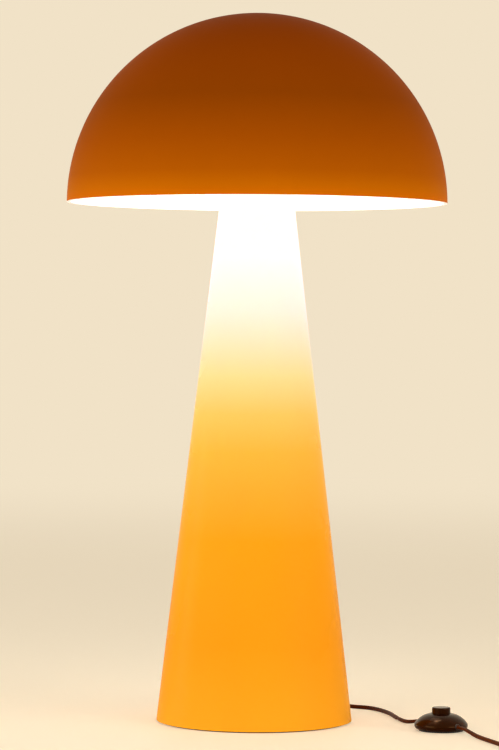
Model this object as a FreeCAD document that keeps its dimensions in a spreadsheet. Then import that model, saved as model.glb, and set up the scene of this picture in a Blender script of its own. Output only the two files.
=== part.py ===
import FreeCAD, Part
import math
import os
import re

import Sketcher

# Mushroom floor lamp: a spun dome rests on a three-legged carrier over a bulb, on a straight sheet cone
# with a steel ballast plate, and a cord with a foot switch runs to a two-pin plug.
# The origin is on the floor under the lamp's axis, with +Z up. All lengths are millimetres, angles degrees.

SIZES = {
    # ballast plate and its pad
    "pad_thickness": 1.5,
    "pad_inset": 2.0,
    "plate_thickness": 8.0,
    "plate_chamfer": 0.8,
    "plate_gap": 0.4,
    # cone of the stem
    "stem_bottom_radius": 115.8,
    "stem_top_radius": 41.0,
    "stem_top": 640.0,
    "stem_wall": 1.0,
    # brackets that hold the plate in the cone, with their screws and weld nuts
    "bracket_angle": 14.0,
    "bracket_sheet": 2.0,
    "bracket_foot": 26.0,
    "bracket_rise": 30.0,
    "base_screw_radius": 2.5,
    "base_screw_head_radius": 4.8,
    "base_screw_head": 2.6,
    "base_screw_sink": 0.2,
    "base_nut_flats": 8.0,
    "base_nut_height": 4.0,
    # clearances that several pieces share
    "seat_gap": 0.1,
    "thread_gap": 0.05,
    "hole_gap": 0.15,
    "rest_gap": 0.3,
    # cord, its bush in the cone and its clamp on the plate
    "cord_radius": 2.5,
    "cord_gap": 0.1,
    "cord_angle": 75.0,
    "bush_flange_radius": 6.2,
    "bush_neck_radius": 4.5,
    "bush_groove": 2.9,
    "bush_flange": 2.0,
    "sleeve_length": 21.0,
    "sleeve_end_radius": 3.4,
    "clamp_inset": 37.9,
    "clamp_width": 10.0,
    "clamp_length": 27.0,
    "clamp_height": 6.0,
    "clamp_screw_spacing": 18.0,
    "clamp_screw_radius": 2.0,
    "clamp_screw_head_radius": 3.6,
    "clamp_screw_head": 2.4,
    "clamp_screw_head_bevel": 0.6,
    "clamp_screw_length": 11.0,
    # cap in the cone's top, threaded nipple and its two nuts
    "cap_sheet": 1.5,
    "cap_skirt": 10.0,
    "nipple_radius": 5.0,
    "nipple_bore_radius": 4.0,
    "nipple_length": 30.0,
    "nipple_above_nut": 11.5,
    "sheath_end": 1.5,
    "pipe_nut_flats": 14.0,
    "pipe_nut_height": 3.0,
    # shade carrier
    "foot_plate": 2.0,
    "leg_inset": 3.0,
    "leg_radius": 2.5,
    "leg_nut_flats": 8.0,
    "leg_nut_height": 4.0,
    "leg_tip": 1.0,
    "spider_plate": 3.0,
    "spider_arm_width": 11.0,
    "spider_centre_radius": 14.0,
    "spigot_radius": 8.0,
    "spigot_length": 12.0,
    "spigot_shank_radius": 4.0,
    # dome and its hub
    "dome_radius": 225.0,
    "dome_height": 223.9,
    "rim_drop": 26.7,
    "dome_wall": 1.2,
    "dome_hem": 4.5,
    "hub_radius": 30.0,
    "hub_flange": 3.0,
    "hub_boss_radius": 13.0,
    "hub_boss": 14.5,
    "hub_bore_gap": 0.2,
    "hub_bore_floor": 1.5,
    "stud_circle": 21.0,
    "stud_radius": 2.0,
    "stud_tail": 5.2,
    "stud_nut_flats": 7.0,
    "stud_nut_height": 3.2,
    # lamp holder
    "holder_radius": 19.5,
    "holder_wall": 2.3,
    "holder_cap_height": 26.7,
    "holder_neck": 5.0,
    "holder_neck_roof": 10.0,
    "holder_throat": 14.5,
    "holder_throat_in": 4.0,
    "holder_shoulder": 13.0,
    "holder_shoulder_in": 2.0,
    "holder_shoulder_curve": 12.0,
    "holder_shoulder_top": 19.0,
    "holder_skirt_height": 36.0,
    "holder_flare": 1.0,
    "holder_lip": 1.6,
    "holder_lip_radius": 14.9,
    "insert_seat": 5.0,
    "insert_ledge": 2.0,
    "insert_radius": 16.9,
    "insert_height": 15.0,
    "shell_inner_radius": 13.7,
    "shell_sheet": 0.5,
    "shell_rim": 2.0,
    "shell_height": 24.0,
    "tongue_length": 18.0,
    "tongue_width": 6.0,
    "tongue_sheet": 0.6,
    "terminal_spacing": 18.0,
    "terminal_screw_radius": 1.5,
    "terminal_screw_head_radius": 2.8,
    "terminal_screw_head": 1.8,
    "terminal_screw_length": 7.0,
    "wire_radius": 0.9,
    # bulb
    "bulb_contact_gap": 0.4,
    "bulb_contact_radius": 4.6,
    "bulb_contact_height": 1.5,
    "bulb_contact_round": 1.0,
    "bulb_insulator_edge": 0.6,
    "bulb_cap_lead": 1.0,
    "bulb_housing_root": 6.0,
    "bulb_neck": 6.0,
    "bulb_neck_inside": 5.0,
    "bulb_neck_flare": 1.2,
    "bulb_ledge_drop": 1.4,
    "bulb_insulator_height": 4.5,
    "bulb_insulator_radius": 10.8,
    "bulb_cap_radius": 13.2,
    "bulb_cap_height": 20.0,
    "bulb_cap_bore_radius": 11.6,
    "bulb_thread_depth": 0.9,
    "bulb_thread_pitch": 3.629,
    "bulb_radius": 30.0,
    "bulb_length": 108.0,
    "bulb_joint_drop": 13.0,
    "bulb_glass_wall": 1.2,
    "bulb_housing_wall": 1.8,
    "bulb_ledge": 3.0,
    "bulb_board_thickness": 1.6,
    "driver_width": 15.0,
    "driver_height": 32.0,
    # foot switch
    "switch_x": 217.0,
    "switch_y": -78.0,
    "switch_pad_radius": 26.0,
    "switch_pad_width": 3.5,
    "switch_foot_radius": 27.0,
    "switch_radius": 31.0,
    "switch_seam": 7.0,
    "switch_band": 1.2,
    "switch_lap": 1.0,
    "switch_tray_taper": 1.5,
    "switch_floor": 2.0,
    "switch_wall": 2.0,
    "switch_cover_top": 20.0,
    "switch_cover_curve": 26.0,
    "switch_foot_curve": 4.4,
    "switch_rim_curve": 3.0,
    "switch_rim_in": 0.5,
    "switch_rim_up": 1.6,
    "switch_in_angle": 124.0,
    "switch_out_angle": 304.0,
    "switch_bush_inner": 24.5,
    "switch_bush_outer": 32.0,
    "switch_bush_radius": 3.4,
    "switch_bush_bevel": 0.6,
    "switch_bush_bevel_in": 0.4,
    "switch_hole_inside": 1.0,
    "switch_hole_outside": 4.0,
    "switch_lead_inner": 22.0,
    "button_radius": 10.7,
    "button_gap": 0.4,
    "button_top": 27.0,
    "button_wall": 1.7,
    "button_roof": 2.5,
    "button_edge": 1.2,
    "button_flange": 1.9,
    "button_flange_height": 1.5,
    "button_stem_radius": 3.0,
    "bridge_thickness": 1.0,
    "bridge_radius": 4.8,
    "press_travel": 3.0,
    "press_gap": 0.2,
    "contact_radius": 1.2,
    "contact_spacing": 6.0,
    "contact_height": 3.2,
    "strip_sheet": 0.6,
    "strip_width": 5.0,
    "terminal_circle": 17.0,
    "terminal_block": 5.0,
    "block_screw_inset": 0.6,
    "spring_washer": 0.6,
    "spring_radius": 6.1,
    "spring_wire_radius": 0.45,
    "switch_screw_circle": 18.5,
    "switch_screw_radius": 1.3,
    "switch_screw_head_radius": 2.6,
    "switch_screw_head": 1.3,
    "switch_screw_length": 9.0,
    "switch_screw_room": 1.0,
    "switch_post_radius": 2.9,
    "switch_post_gap": 1.0,
    # coil of spare cord
    "coil_x": 326.0,
    "coil_y": -236.0,
    "coil_outer_radius": 39.5,
    "coil_pitch": 5.6,
    "coil_start_angle": 204.0,
    "coil_turns_in": 3.25,
    "coil_turns_out": 2.6833,
    "coil_tail": 42.0,
    # two-pin plug
    "plug_width": 35.3,
    "plug_thickness": 13.7,
    "plug_length": 36.0,
    "plug_face_depth": 9.0,
    "plug_back_width": 14.0,
    "plug_edge": 2.6,
    "plug_boot_length": 22.0,
    "plug_boot_radius": 5.0,
    "plug_boot_end_radius": 3.4,
    "pin_spacing": 19.0,
    "pin_radius": 2.0,
    "pin_length": 19.0,
    "pin_root": 8.0,
    "pin_sleeve_length": 10.0,
    "pin_tip": 1.0,
    "pin_core_radius": 1.4,
    "pin_sleeve_radius": 1.8,
}

doc = FreeCAD.newDocument("mushroom_floor_lamp")
sheet = doc.addObject("Spreadsheet::Sheet", "sizes")
for row, (alias, number) in enumerate(SIZES.items(), start=1):
    sheet.set(f"A{row}", alias)
    sheet.set(f"B{row}", str(number))
    sheet.setAlias(f"B{row}", alias)
doc.recompute()

finished = []


def bound(text):
    """The expression with each size's name pointing at its cell of the sheet."""
    return re.sub(r"[a-z]\w*", lambda word: f"sizes.{word[0]}" if word[0] in SIZES else word[0], text)


def value(text):
    """The number that an expression of the sheet's sizes gives now."""
    return float(sheet.evalExpression(bound(text)))


def keep(piece, label):
    """Gives a finished sub-part its name and notes it for writing."""
    piece.Label = label
    finished.append(piece)
    return piece


def arc_between(first, last, radius):
    """An arc from first to last, to the left about its centre where the radius is positive."""
    chord = last - first
    side = FreeCAD.Vector(-chord.y, chord.x, 0).normalize()
    reach = math.sqrt(radius**2 - (chord.Length / 2) ** 2)
    centre = (first + last) / 2 + side * math.copysign(reach, radius)
    middle = centre - side * math.copysign(abs(radius), radius)
    return Part.ArcOfCircle(first, middle, last)


def outline(body, corners, plane="XZ_Plane"):
    """A closed sketch through corners (across, up), each an expression, with every corner bound to the sheet.

    A corner's third entry is the radius of the arc to the next corner, negative where it turns right.
    """
    sketch = body.newObject("Sketcher::SketchObject", "outline")
    base = [feature for feature in body.Origin.OriginFeatures if feature.Role == plane][0]
    sketch.AttachmentSupport = (base, [""])
    sketch.MapMode = "FlatFace"
    places = [FreeCAD.Vector(value(corner[0]), value(corner[1]), 0) for corner in corners]
    starts, ends = [], []
    for index, corner in enumerate(corners):
        here, there = places[index], places[(index + 1) % len(places)]
        radius = value(corner[2]) if len(corner) > 2 else 0
        sketch.addGeometry(arc_between(here, there, radius) if radius else Part.LineSegment(here, there), False)
        starts.append(2 if radius < 0 else 1)
        ends.append(1 if radius < 0 else 2)
        if radius:
            sketch.addConstraint(Sketcher.Constraint("Radius", index, abs(radius)))
            name = f"radius_{index}"
            sketch.renameConstraint(sketch.ConstraintCount - 1, name)
            sketch.setExpression(f"Constraints.{name}", bound(f"abs({corner[2]})"))
    for index in range(len(corners)):
        after = (index + 1) % len(corners)
        sketch.addConstraint(Sketcher.Constraint("Coincident", index, ends[index], after, starts[after]))
    for index, corner in enumerate(corners):
        for kind, text, number, axis in (
            ("DistanceX", corner[0], places[index].x, -2),
            ("DistanceY", corner[1], places[index].y, -1),
        ):
            if text == "0":
                sketch.addConstraint(Sketcher.Constraint("PointOnObject", index, starts[index], axis))
                continue
            sketch.addConstraint(Sketcher.Constraint(kind, -1, 1, index, starts[index], number))
            name = f"{kind}_{index}"
            sketch.renameConstraint(sketch.ConstraintCount - 1, name)
            sketch.setExpression(f"Constraints.{name}", bound(text))
    return sketch


def turned(name, corners, axis="V_Axis", sweep=None):
    """A turned body: corners are (radius, height) about the vertical, or (along, radius) about H_Axis."""
    body = doc.addObject("PartDesign::Body", name)
    sketch = outline(body, corners)
    turn = body.newObject("PartDesign::Revolution", "turn")
    turn.Profile = sketch
    turn.ReferenceAxis = (sketch, [axis])
    turn.Angle = 360
    if sweep:
        turn.Midplane = True
        turn.setExpression("Angle", bound(sweep))
    return body


def box(name, length, width, height, x, y, z):
    """A box of these sizes whose lowest corner is at x, y, z."""
    block = doc.addObject("Part::Box", name)
    for side, text in (("Length", length), ("Width", width), ("Height", height)):
        block.setExpression(side, bound(text))
    return placed(block, x, y, z)


def cylinder(name, radius, height, x="0", y="0", z="0"):
    """An upright cylinder whose foot is centred at x, y, z."""
    rod = doc.addObject("Part::Cylinder", name)
    rod.setExpression("Radius", bound(radius))
    rod.setExpression("Height", bound(height))
    return placed(rod, x, y, z)


def nut(name, flats, height, bore):
    """A hexagon nut standing on its foot at the origin."""
    hexagon = doc.addObject("Part::Prism", f"{name}_hexagon")
    hexagon.Polygon = 6
    hexagon.setExpression("Circumradius", bound(f"({flats}) / 2 / cos(30)"))
    hexagon.setExpression("Height", bound(height))
    return cut(name, hexagon, cylinder(f"{name}_bore", bore, height))


def placed(piece, x="0", y="0", z="0", angle="0"):
    """Moves a piece to x, y, z, after turning it by the angle about the vertical."""
    turn = FreeCAD.Rotation(FreeCAD.Vector(0, 0, 1), value(angle))
    piece.Placement = FreeCAD.Placement(FreeCAD.Vector(), turn)
    for axis, text in (("x", x), ("y", y), ("z", z)):
        piece.setExpression(f"Placement.Base.{axis}", bound(text))
    return piece


def cut(name, base, tool):
    """The base with the tool's space taken out."""
    result = doc.addObject("Part::Cut", name)
    result.Base = base
    result.Tool = tool
    return result


def fused(name, pieces):
    """One solid of several overlapping pieces."""
    result = doc.addObject("Part::MultiFuse", name)
    result.Shapes = pieces
    result.Refine = True
    return result


def together(name, pieces):
    """Separate solids that share one node."""
    group = doc.addObject("Part::Compound", name)
    group.Links = pieces
    return group


def ring_of(name, make, count, circle="0", first="0", z="0", x="0", y="0"):
    """Copies of one piece, made anew by make, spaced evenly on a circle about x, y."""
    pieces = []
    for number in range(count):
        angle = f"({first} + {360 * number / count})"
        across, along = f"({x}) + ({circle}) * cos({angle})", f"({y}) + ({circle}) * sin({angle})"
        pieces.append(placed(make(f"{name}_{number + 1}"), across, along, z, angle))
    return together(name, pieces)


def swept(name, edges, radius):
    """One unbroken round tube along joined edges, its volume compared with section times length."""
    path = Part.Wire(edges)
    start = path.Edges[0]
    direction = start.tangentAt(start.FirstParameter)
    section = Part.Wire(Part.makeCircle(radius, start.valueAt(start.FirstParameter), direction))
    shape = path.makePipeShell([section], True, False)
    share = shape.Volume / (math.pi * radius**2 * path.Length)
    print(f"{name}: length {path.Length:.1f}, volume over section times length {share:.4f}")
    if abs(share - 1) > 0.01 or not shape.isValid():
        raise ValueError(f"{name} isn't a clean tube")
    return shape


def route_edges(name, route):
    """Straight runs joined by tangent arcs, each as large as its two runs allow."""
    places = [FreeCAD.Vector(*point) for point in route]
    edges, radii, last = [], [], places[0]
    for before, here, after in zip(places, places[1:], places[2:]):
        arriving, leaving = (here - before).normalize(), (after - here).normalize()
        half_turn = arriving.getAngle(leaving) / 2
        reach = 0.45 * min((here - before).Length, (after - here).Length)
        radius = reach / math.tan(half_turn)
        inward = (leaving - arriving).normalize()
        middle = here + inward * (radius / math.cos(half_turn) - radius)
        first, final = here - arriving * reach, here + leaving * reach
        edges += [Part.LineSegment(last, first).toShape(), Part.Arc(first, middle, final).toShape()]
        radii.append(radius)
        last = final
    edges.append(Part.LineSegment(last, places[-1]).toShape())
    if radii:
        print(f"{name}: arc radii {', '.join(f'{radius:.0f}' for radius in radii)}")
    return edges


def tube(name, route, radius):
    """A round tube along a route of points."""
    return swept(name, route_edges(name, route), radius)


def from_shape(label, shape, x="0", y="0", z="0", angle="0"):
    """A sub-part whose shape is worked out here, then placed."""
    feature = doc.addObject("Part::Feature", label)
    feature.Shape = shape
    return keep(placed(feature, x, y, z, angle), label)


# Stem: a straight cone of sheet steel, rolled and seam welded, open at both ends.
PLATE_TOP = "(pad_thickness + plate_thickness)"
STEM_SLOPE = "((stem_bottom_radius - stem_top_radius) / (stem_top - pad_thickness))"


def stem_inside(height):
    """The cone's inner radius at a height."""
    return f"(stem_bottom_radius - stem_wall - {STEM_SLOPE} * ({height} - pad_thickness))"


BUSH_HEIGHT = f"({PLATE_TOP} + bush_flange_radius + rest_gap)"
BUSH_MIDDLE = f"({stem_inside(BUSH_HEIGHT)} + stem_wall / 2)"
cone = turned(
    "cone",
    [
        ("stem_bottom_radius - stem_wall", "pad_thickness"),
        ("stem_bottom_radius", "pad_thickness"),
        ("stem_top_radius", "stem_top"),
        ("stem_top_radius - stem_wall", "stem_top"),
    ],
)
cord_hole = turned(
    "cord_hole",
    [
        (f"{BUSH_MIDDLE} - bush_flange_radius", "0"),
        (f"{BUSH_MIDDLE} + bush_flange_radius", "0"),
        (f"{BUSH_MIDDLE} + bush_flange_radius", "bush_neck_radius + seat_gap"),
        (f"{BUSH_MIDDLE} - bush_flange_radius", "bush_neck_radius + seat_gap"),
    ],
    axis="H_Axis",
)
keep(cut("stem", cone, placed(cord_hole, z=BUSH_HEIGHT, angle="cord_angle")), "stem_cone")

# Brackets: three bent strips welded to the cone's wall, each with a weld nut on its foot.
BRACKET_WALL = f"({stem_inside(PLATE_TOP)} - seat_gap)"
BRACKET_TOP = f"({PLATE_TOP} + bracket_rise)"
BRACKET_CIRCLE = f"({BRACKET_WALL} - bracket_foot / 2)"
FOOT_TOP = f"({PLATE_TOP} + bracket_sheet)"
BRACKETS = 3


def bracket(name):
    """One bent strip whose upright follows the cone's wall."""
    return turned(
        name,
        [
            (f"{BRACKET_WALL} - bracket_foot", PLATE_TOP),
            (BRACKET_WALL, PLATE_TOP),
            (f"{stem_inside(BRACKET_TOP)} - seat_gap", BRACKET_TOP),
            (f"{stem_inside(BRACKET_TOP)} - seat_gap - bracket_sheet", BRACKET_TOP),
            (f"{stem_inside(FOOT_TOP)} - seat_gap - bracket_sheet", FOOT_TOP),
            (f"{BRACKET_WALL} - bracket_foot", FOOT_TOP),
        ],
        sweep="bracket_angle",
    )


SCREW_FOOT = "(pad_thickness + base_screw_sink)"


def base_screw(name):
    """A countersunk screw, head down."""
    return turned(
        name,
        [
            ("0", SCREW_FOOT),
            ("base_screw_head_radius", SCREW_FOOT),
            ("base_screw_radius", f"{SCREW_FOOT} + base_screw_head"),
            ("base_screw_radius", f"{FOOT_TOP} + base_nut_height + seat_gap"),
            ("0", f"{FOOT_TOP} + base_nut_height + seat_gap"),
        ],
    )


def base_screw_hole(name):
    """The countersunk hole for one base screw, through plate and bracket foot."""
    return turned(
        name,
        [
            ("0", "pad_thickness / 2"),
            ("base_screw_head_radius + hole_gap", "pad_thickness / 2"),
            ("base_screw_head_radius + hole_gap", SCREW_FOOT),
            ("base_screw_radius + hole_gap", f"{SCREW_FOOT} + base_screw_head"),
            ("base_screw_radius + hole_gap", f"{FOOT_TOP} + bracket_sheet"),
            ("0", f"{FOOT_TOP} + bracket_sheet"),
        ],
    )


def base_nut(name):
    """A weld nut on a bracket's foot."""
    return nut(name, "base_nut_flats", "base_nut_height", "base_screw_radius + thread_gap")


bracket_ring = ring_of("bracket_ring", bracket, BRACKETS)
screw_holes = ring_of("screw_holes", base_screw_hole, BRACKETS, BRACKET_CIRCLE)
keep(cut("drilled_brackets", bracket_ring, screw_holes), "base_brackets")
keep(ring_of("base_screw_ring", base_screw, BRACKETS, BRACKET_CIRCLE), "base_screws")
keep(ring_of("base_nut_ring", base_nut, BRACKETS, BRACKET_CIRCLE, z=FOOT_TOP), "bracket_weld_nuts")

# Ballast: a steel disc inside the cone's foot, on a slightly smaller foam pad that the lamp stands on.
PLATE_RADIUS = f"({stem_inside(PLATE_TOP)} - plate_gap)"
disc = turned(
    "disc",
    [
        ("0", "pad_thickness"),
        (f"{PLATE_RADIUS} - plate_chamfer", "pad_thickness"),
        (PLATE_RADIUS, "pad_thickness + plate_chamfer"),
        (PLATE_RADIUS, PLATE_TOP),
        ("0", PLATE_TOP),
    ],
)
pad = turned(
    "pad",
    [
        ("0", "0"),
        (f"{PLATE_RADIUS} - pad_inset", "0"),
        (f"{PLATE_RADIUS} - pad_inset", "pad_thickness"),
        ("0", "pad_thickness"),
    ],
)
keep(pad, "base_pad")

# Clamp: a block screwed down over the cord where it crosses the plate.
CLAMP_CIRCLE = f"({PLATE_RADIUS} - clamp_inset)"
CORD_ON_PLATE = f"({PLATE_TOP} + cord_radius + cord_gap)"
CLAMP_TOP = f"({PLATE_TOP} + clamp_height)"
CLAMP_SCREWS = (-1, 1)


def clamp_pair(name, make):
    """Two copies of a piece at the clamp's screws."""
    pieces = []
    for side in CLAMP_SCREWS:
        along = f"{side} * clamp_screw_spacing / 2"
        pieces.append(placed(make(f"{name}_{side + 2}"), CLAMP_CIRCLE, along))
    return together(name, pieces)


def clamp_screw(name):
    """A pan-head screw, head up on the clamp."""
    return turned(
        name,
        [
            ("0", f"{CLAMP_TOP} - clamp_screw_length"),
            ("clamp_screw_radius", f"{CLAMP_TOP} - clamp_screw_length"),
            ("clamp_screw_radius", CLAMP_TOP),
            ("clamp_screw_head_radius", CLAMP_TOP),
            ("clamp_screw_head_radius - clamp_screw_head_bevel", f"{CLAMP_TOP} + clamp_screw_head"),
            ("0", f"{CLAMP_TOP} + clamp_screw_head"),
        ],
    )


def clamp_screw_hole(name):
    """The hole for one clamp screw, through the clamp and into the plate."""
    depth = "clamp_screw_length + seat_gap"
    return turned(
        name,
        [
            ("0", f"{CLAMP_TOP} - ({depth})"),
            ("clamp_screw_radius + thread_gap", f"{CLAMP_TOP} - ({depth})"),
            ("clamp_screw_radius + thread_gap", f"{CLAMP_TOP} + seat_gap"),
            ("0", f"{CLAMP_TOP} + seat_gap"),
        ],
    )


block = box(
    "block",
    "clamp_width",
    "clamp_length",
    "clamp_height",
    f"{CLAMP_CIRCLE} - clamp_width / 2",
    "-clamp_length / 2",
    PLATE_TOP,
)
channel = turned(
    "channel",
    [
        (f"{CLAMP_CIRCLE} - clamp_width", "0"),
        (f"{CLAMP_CIRCLE} + clamp_width", "0"),
        (f"{CLAMP_CIRCLE} + clamp_width", "cord_radius + cord_gap"),
        (f"{CLAMP_CIRCLE} - clamp_width", "cord_radius + cord_gap"),
    ],
    axis="H_Axis",
)
slot = box(
    "slot",
    "2 * clamp_width",
    "2 * (cord_radius + cord_gap)",
    "cord_radius + cord_gap",
    f"{CLAMP_CIRCLE} - clamp_width",
    "-cord_radius - cord_gap",
    PLATE_TOP,
)
clamp_holes = clamp_pair("clamp_holes", clamp_screw_hole)
space = together("clamp_space", [placed(channel, z=CORD_ON_PLATE), slot, clamp_holes])
keep(placed(cut("clamp", block, space), angle="cord_angle"), "cord_clamp")
keep(placed(clamp_pair("clamp_screw_pair", clamp_screw), angle="cord_angle"), "cord_clamp_screws")
plate_holes = together(
    "plate_holes",
    [
        ring_of("plate_screw_holes", base_screw_hole, BRACKETS, BRACKET_CIRCLE),
        placed(clamp_pair("plate_clamp_holes", clamp_screw_hole), angle="cord_angle"),
    ],
)
keep(cut("plate", disc, plate_holes), "base_plate")

# Bush: a rubber grommet in the cone's hole whose outer end runs out into a tapered sleeve.
BUSH_OUT = f"({BUSH_MIDDLE} + bush_groove / 2)"
BUSH_IN = f"({BUSH_MIDDLE} - bush_groove / 2)"
SLEEVE_END = f"({BUSH_OUT} + bush_flange + sleeve_length)"
bush = turned(
    "bush",
    [
        (f"{BUSH_IN} - bush_flange", "cord_radius + cord_gap"),
        (SLEEVE_END, "cord_radius + cord_gap"),
        (SLEEVE_END, "sleeve_end_radius"),
        (f"{BUSH_OUT} + bush_flange", "bush_neck_radius"),
        (f"{BUSH_OUT} + bush_flange", "bush_flange_radius"),
        (BUSH_OUT, "bush_flange_radius"),
        (BUSH_OUT, "bush_neck_radius"),
        (BUSH_IN, "bush_neck_radius"),
        (BUSH_IN, "bush_flange_radius"),
        (f"{BUSH_IN} - bush_flange", "bush_flange_radius"),
    ],
    axis="H_Axis",
)
keep(placed(bush, z=BUSH_HEIGHT, angle="cord_angle"), "cord_bush")

# Cap: a pressed disc welded into the cone's top, with a short skirt against the wall.
CAP_FOOT = "(stem_top - cap_skirt)"
CAP_UNDERSIDE = "(stem_top - cap_sheet)"
cap = turned(
    "cap",
    [
        ("nipple_radius + hole_gap", CAP_UNDERSIDE),
        (f"{stem_inside(CAP_UNDERSIDE)} - seat_gap - cap_sheet", CAP_UNDERSIDE),
        (f"{stem_inside(CAP_FOOT)} - seat_gap - cap_sheet", CAP_FOOT),
        (f"{stem_inside(CAP_FOOT)} - seat_gap", CAP_FOOT),
        (f"{stem_inside('stem_top')} - seat_gap", "stem_top"),
        ("nipple_radius + hole_gap", "stem_top"),
    ],
)
keep(cap, "stem_cap")

# Nipple: a threaded pipe that clamps the carrier's foot plate on the cap between two thin nuts.
FOOT_PLATE_TOP = "(stem_top + foot_plate)"
UPPER_NUT_TOP = f"({FOOT_PLATE_TOP} + pipe_nut_height)"
NIPPLE_TOP = f"({UPPER_NUT_TOP} + nipple_above_nut)"
nipple = turned(
    "nipple",
    [
        ("nipple_bore_radius", f"{NIPPLE_TOP} - nipple_length"),
        ("nipple_radius", f"{NIPPLE_TOP} - nipple_length"),
        ("nipple_radius", NIPPLE_TOP),
        ("nipple_bore_radius", NIPPLE_TOP),
    ],
)
keep(nipple, "threaded_nipple")
lower_nut = nut("lower_nut", "pipe_nut_flats", "pipe_nut_height", "nipple_radius + thread_gap")
upper_nut = nut("upper_nut", "pipe_nut_flats", "pipe_nut_height", "nipple_radius + thread_gap")
placed(lower_nut, z=f"{CAP_UNDERSIDE} - pipe_nut_height")
placed(upper_nut, z=FOOT_PLATE_TOP)
keep(together("pipe_nuts", [lower_nut, upper_nut]), "nipple_nuts")

# Dome: spun from sheet to a little under a half sphere, its edge turned in to a narrow flat hem.
RIM = "(stem_top - rim_drop)"
CROWN = f"({RIM} + dome_height)"
OUTER_CURVE = "((dome_radius^2 + dome_height^2) / (2 * dome_height))"
INNER_CURVE = f"({OUTER_CURVE} - dome_wall)"
CURVE_CENTRE = f"({CROWN} - {OUTER_CURVE})"
HEM_TOP = f"({RIM} + dome_wall)"


def under_dome(radius):
    """The height of the dome's inner face at a radius."""
    return f"({CURVE_CENTRE} + sqrt({INNER_CURVE}^2 - ({radius})^2))"


dome = turned(
    "dome",
    [
        ("dome_radius", RIM, OUTER_CURVE),
        ("0", CROWN),
        ("0", f"{CROWN} - dome_wall", f"-{INNER_CURVE}"),
        (f"sqrt({INNER_CURVE}^2 - ({HEM_TOP} - {CURVE_CENTRE})^2)", HEM_TOP),
        ("dome_radius - dome_hem", HEM_TOP),
        ("dome_radius - dome_hem", RIM),
    ],
)
keep(dome, "shade_dome")

# Hub: a turned flange under the crown, held by three weld studs, with a blind socket for the spigot.
HUB_TOP = f"({under_dome('hub_radius')} - seat_gap)"
HUB_FLANGE_FOOT = f"({HUB_TOP} - hub_flange)"
HUB_FOOT = f"({HUB_FLANGE_FOOT} - hub_boss)"
STUD_TOP = f"({under_dome('stud_circle + stud_radius')} - seat_gap)"
STUDS = 3
hub_body = turned(
    "hub_body",
    [
        ("0", f"{HUB_TOP} - hub_bore_floor"),
        ("spigot_radius + hub_bore_gap", f"{HUB_TOP} - hub_bore_floor"),
        ("spigot_radius + hub_bore_gap", HUB_FOOT),
        ("hub_boss_radius", HUB_FOOT),
        ("hub_boss_radius", HUB_FLANGE_FOOT),
        ("hub_radius", HUB_FLANGE_FOOT),
        ("hub_radius", HUB_TOP),
        ("0", HUB_TOP),
    ],
)


def stud(name):
    """A stud welded to the dome's inner face."""
    return turned(
        name,
        [
            ("0", f"{HUB_FLANGE_FOOT} - stud_tail"),
            ("stud_radius", f"{HUB_FLANGE_FOOT} - stud_tail"),
            ("stud_radius", STUD_TOP),
            ("0", STUD_TOP),
        ],
    )


def stud_hole(name):
    """The hub flange's hole for a stud."""
    return turned(
        name,
        [
            ("0", f"{HUB_FLANGE_FOOT} - stud_tail"),
            ("stud_radius + hole_gap", f"{HUB_FLANGE_FOOT} - stud_tail"),
            ("stud_radius + hole_gap", f"{HUB_TOP} + hub_flange"),
            ("0", f"{HUB_TOP} + hub_flange"),
        ],
    )


def stud_nut(name):
    """A nut under the hub's flange."""
    return nut(name, "stud_nut_flats", "stud_nut_height", "stud_radius + thread_gap")


keep(cut("hub", hub_body, ring_of("stud_holes", stud_hole, STUDS, "stud_circle")), "shade_hub")
keep(ring_of("stud_ring", stud, STUDS, "stud_circle"), "shade_studs")
stud_nuts = ring_of("stud_nut_ring", stud_nut, STUDS, "stud_circle", z=f"{HUB_FLANGE_FOOT} - stud_nut_height")
keep(stud_nuts, "shade_stud_nuts")

# Carrier: a foot plate on the cap, three threaded rods and a spider with the spigot that the hub drops over.
SPIDER_TOP = f"({HUB_FOOT} - rest_gap)"
SPIDER_FOOT = f"({SPIDER_TOP} - spider_plate)"
LEG_TOP = f"({SPIDER_TOP} + leg_nut_height + leg_tip)"
LEG_CIRCLE = "(stem_top_radius - leg_inset)"
LEGS = 3
foot = turned(
    "foot",
    [
        ("nipple_radius + hole_gap", "stem_top"),
        ("stem_top_radius", "stem_top"),
        ("stem_top_radius", FOOT_PLATE_TOP),
        ("nipple_radius + hole_gap", FOOT_PLATE_TOP),
    ],
)
keep(foot, "carrier_foot_plate")


def leg(name):
    """One rod, welded upright on the foot plate."""
    return cylinder(name, "leg_radius", f"{LEG_TOP} - {FOOT_PLATE_TOP}")


def leg_hole(name):
    """The spider's hole for a rod."""
    return cylinder(name, "leg_radius + hole_gap", "3 * spider_plate")


def spider_arm(name):
    """One arm of the spider, from its middle to the rod's circle, with a round end."""
    half = "-spider_arm_width / 2"
    bar = box(f"{name}_bar", LEG_CIRCLE, "spider_arm_width", "spider_plate", "0", half, "0")
    end = cylinder(f"{name}_end", "spider_arm_width / 2", "spider_plate", x=LEG_CIRCLE)
    return fused(name, [bar, end])


def leg_nut(name):
    """A nut on a rod, above or below the spider."""
    return nut(name, "leg_nut_flats", "leg_nut_height", "leg_radius + thread_gap")


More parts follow.
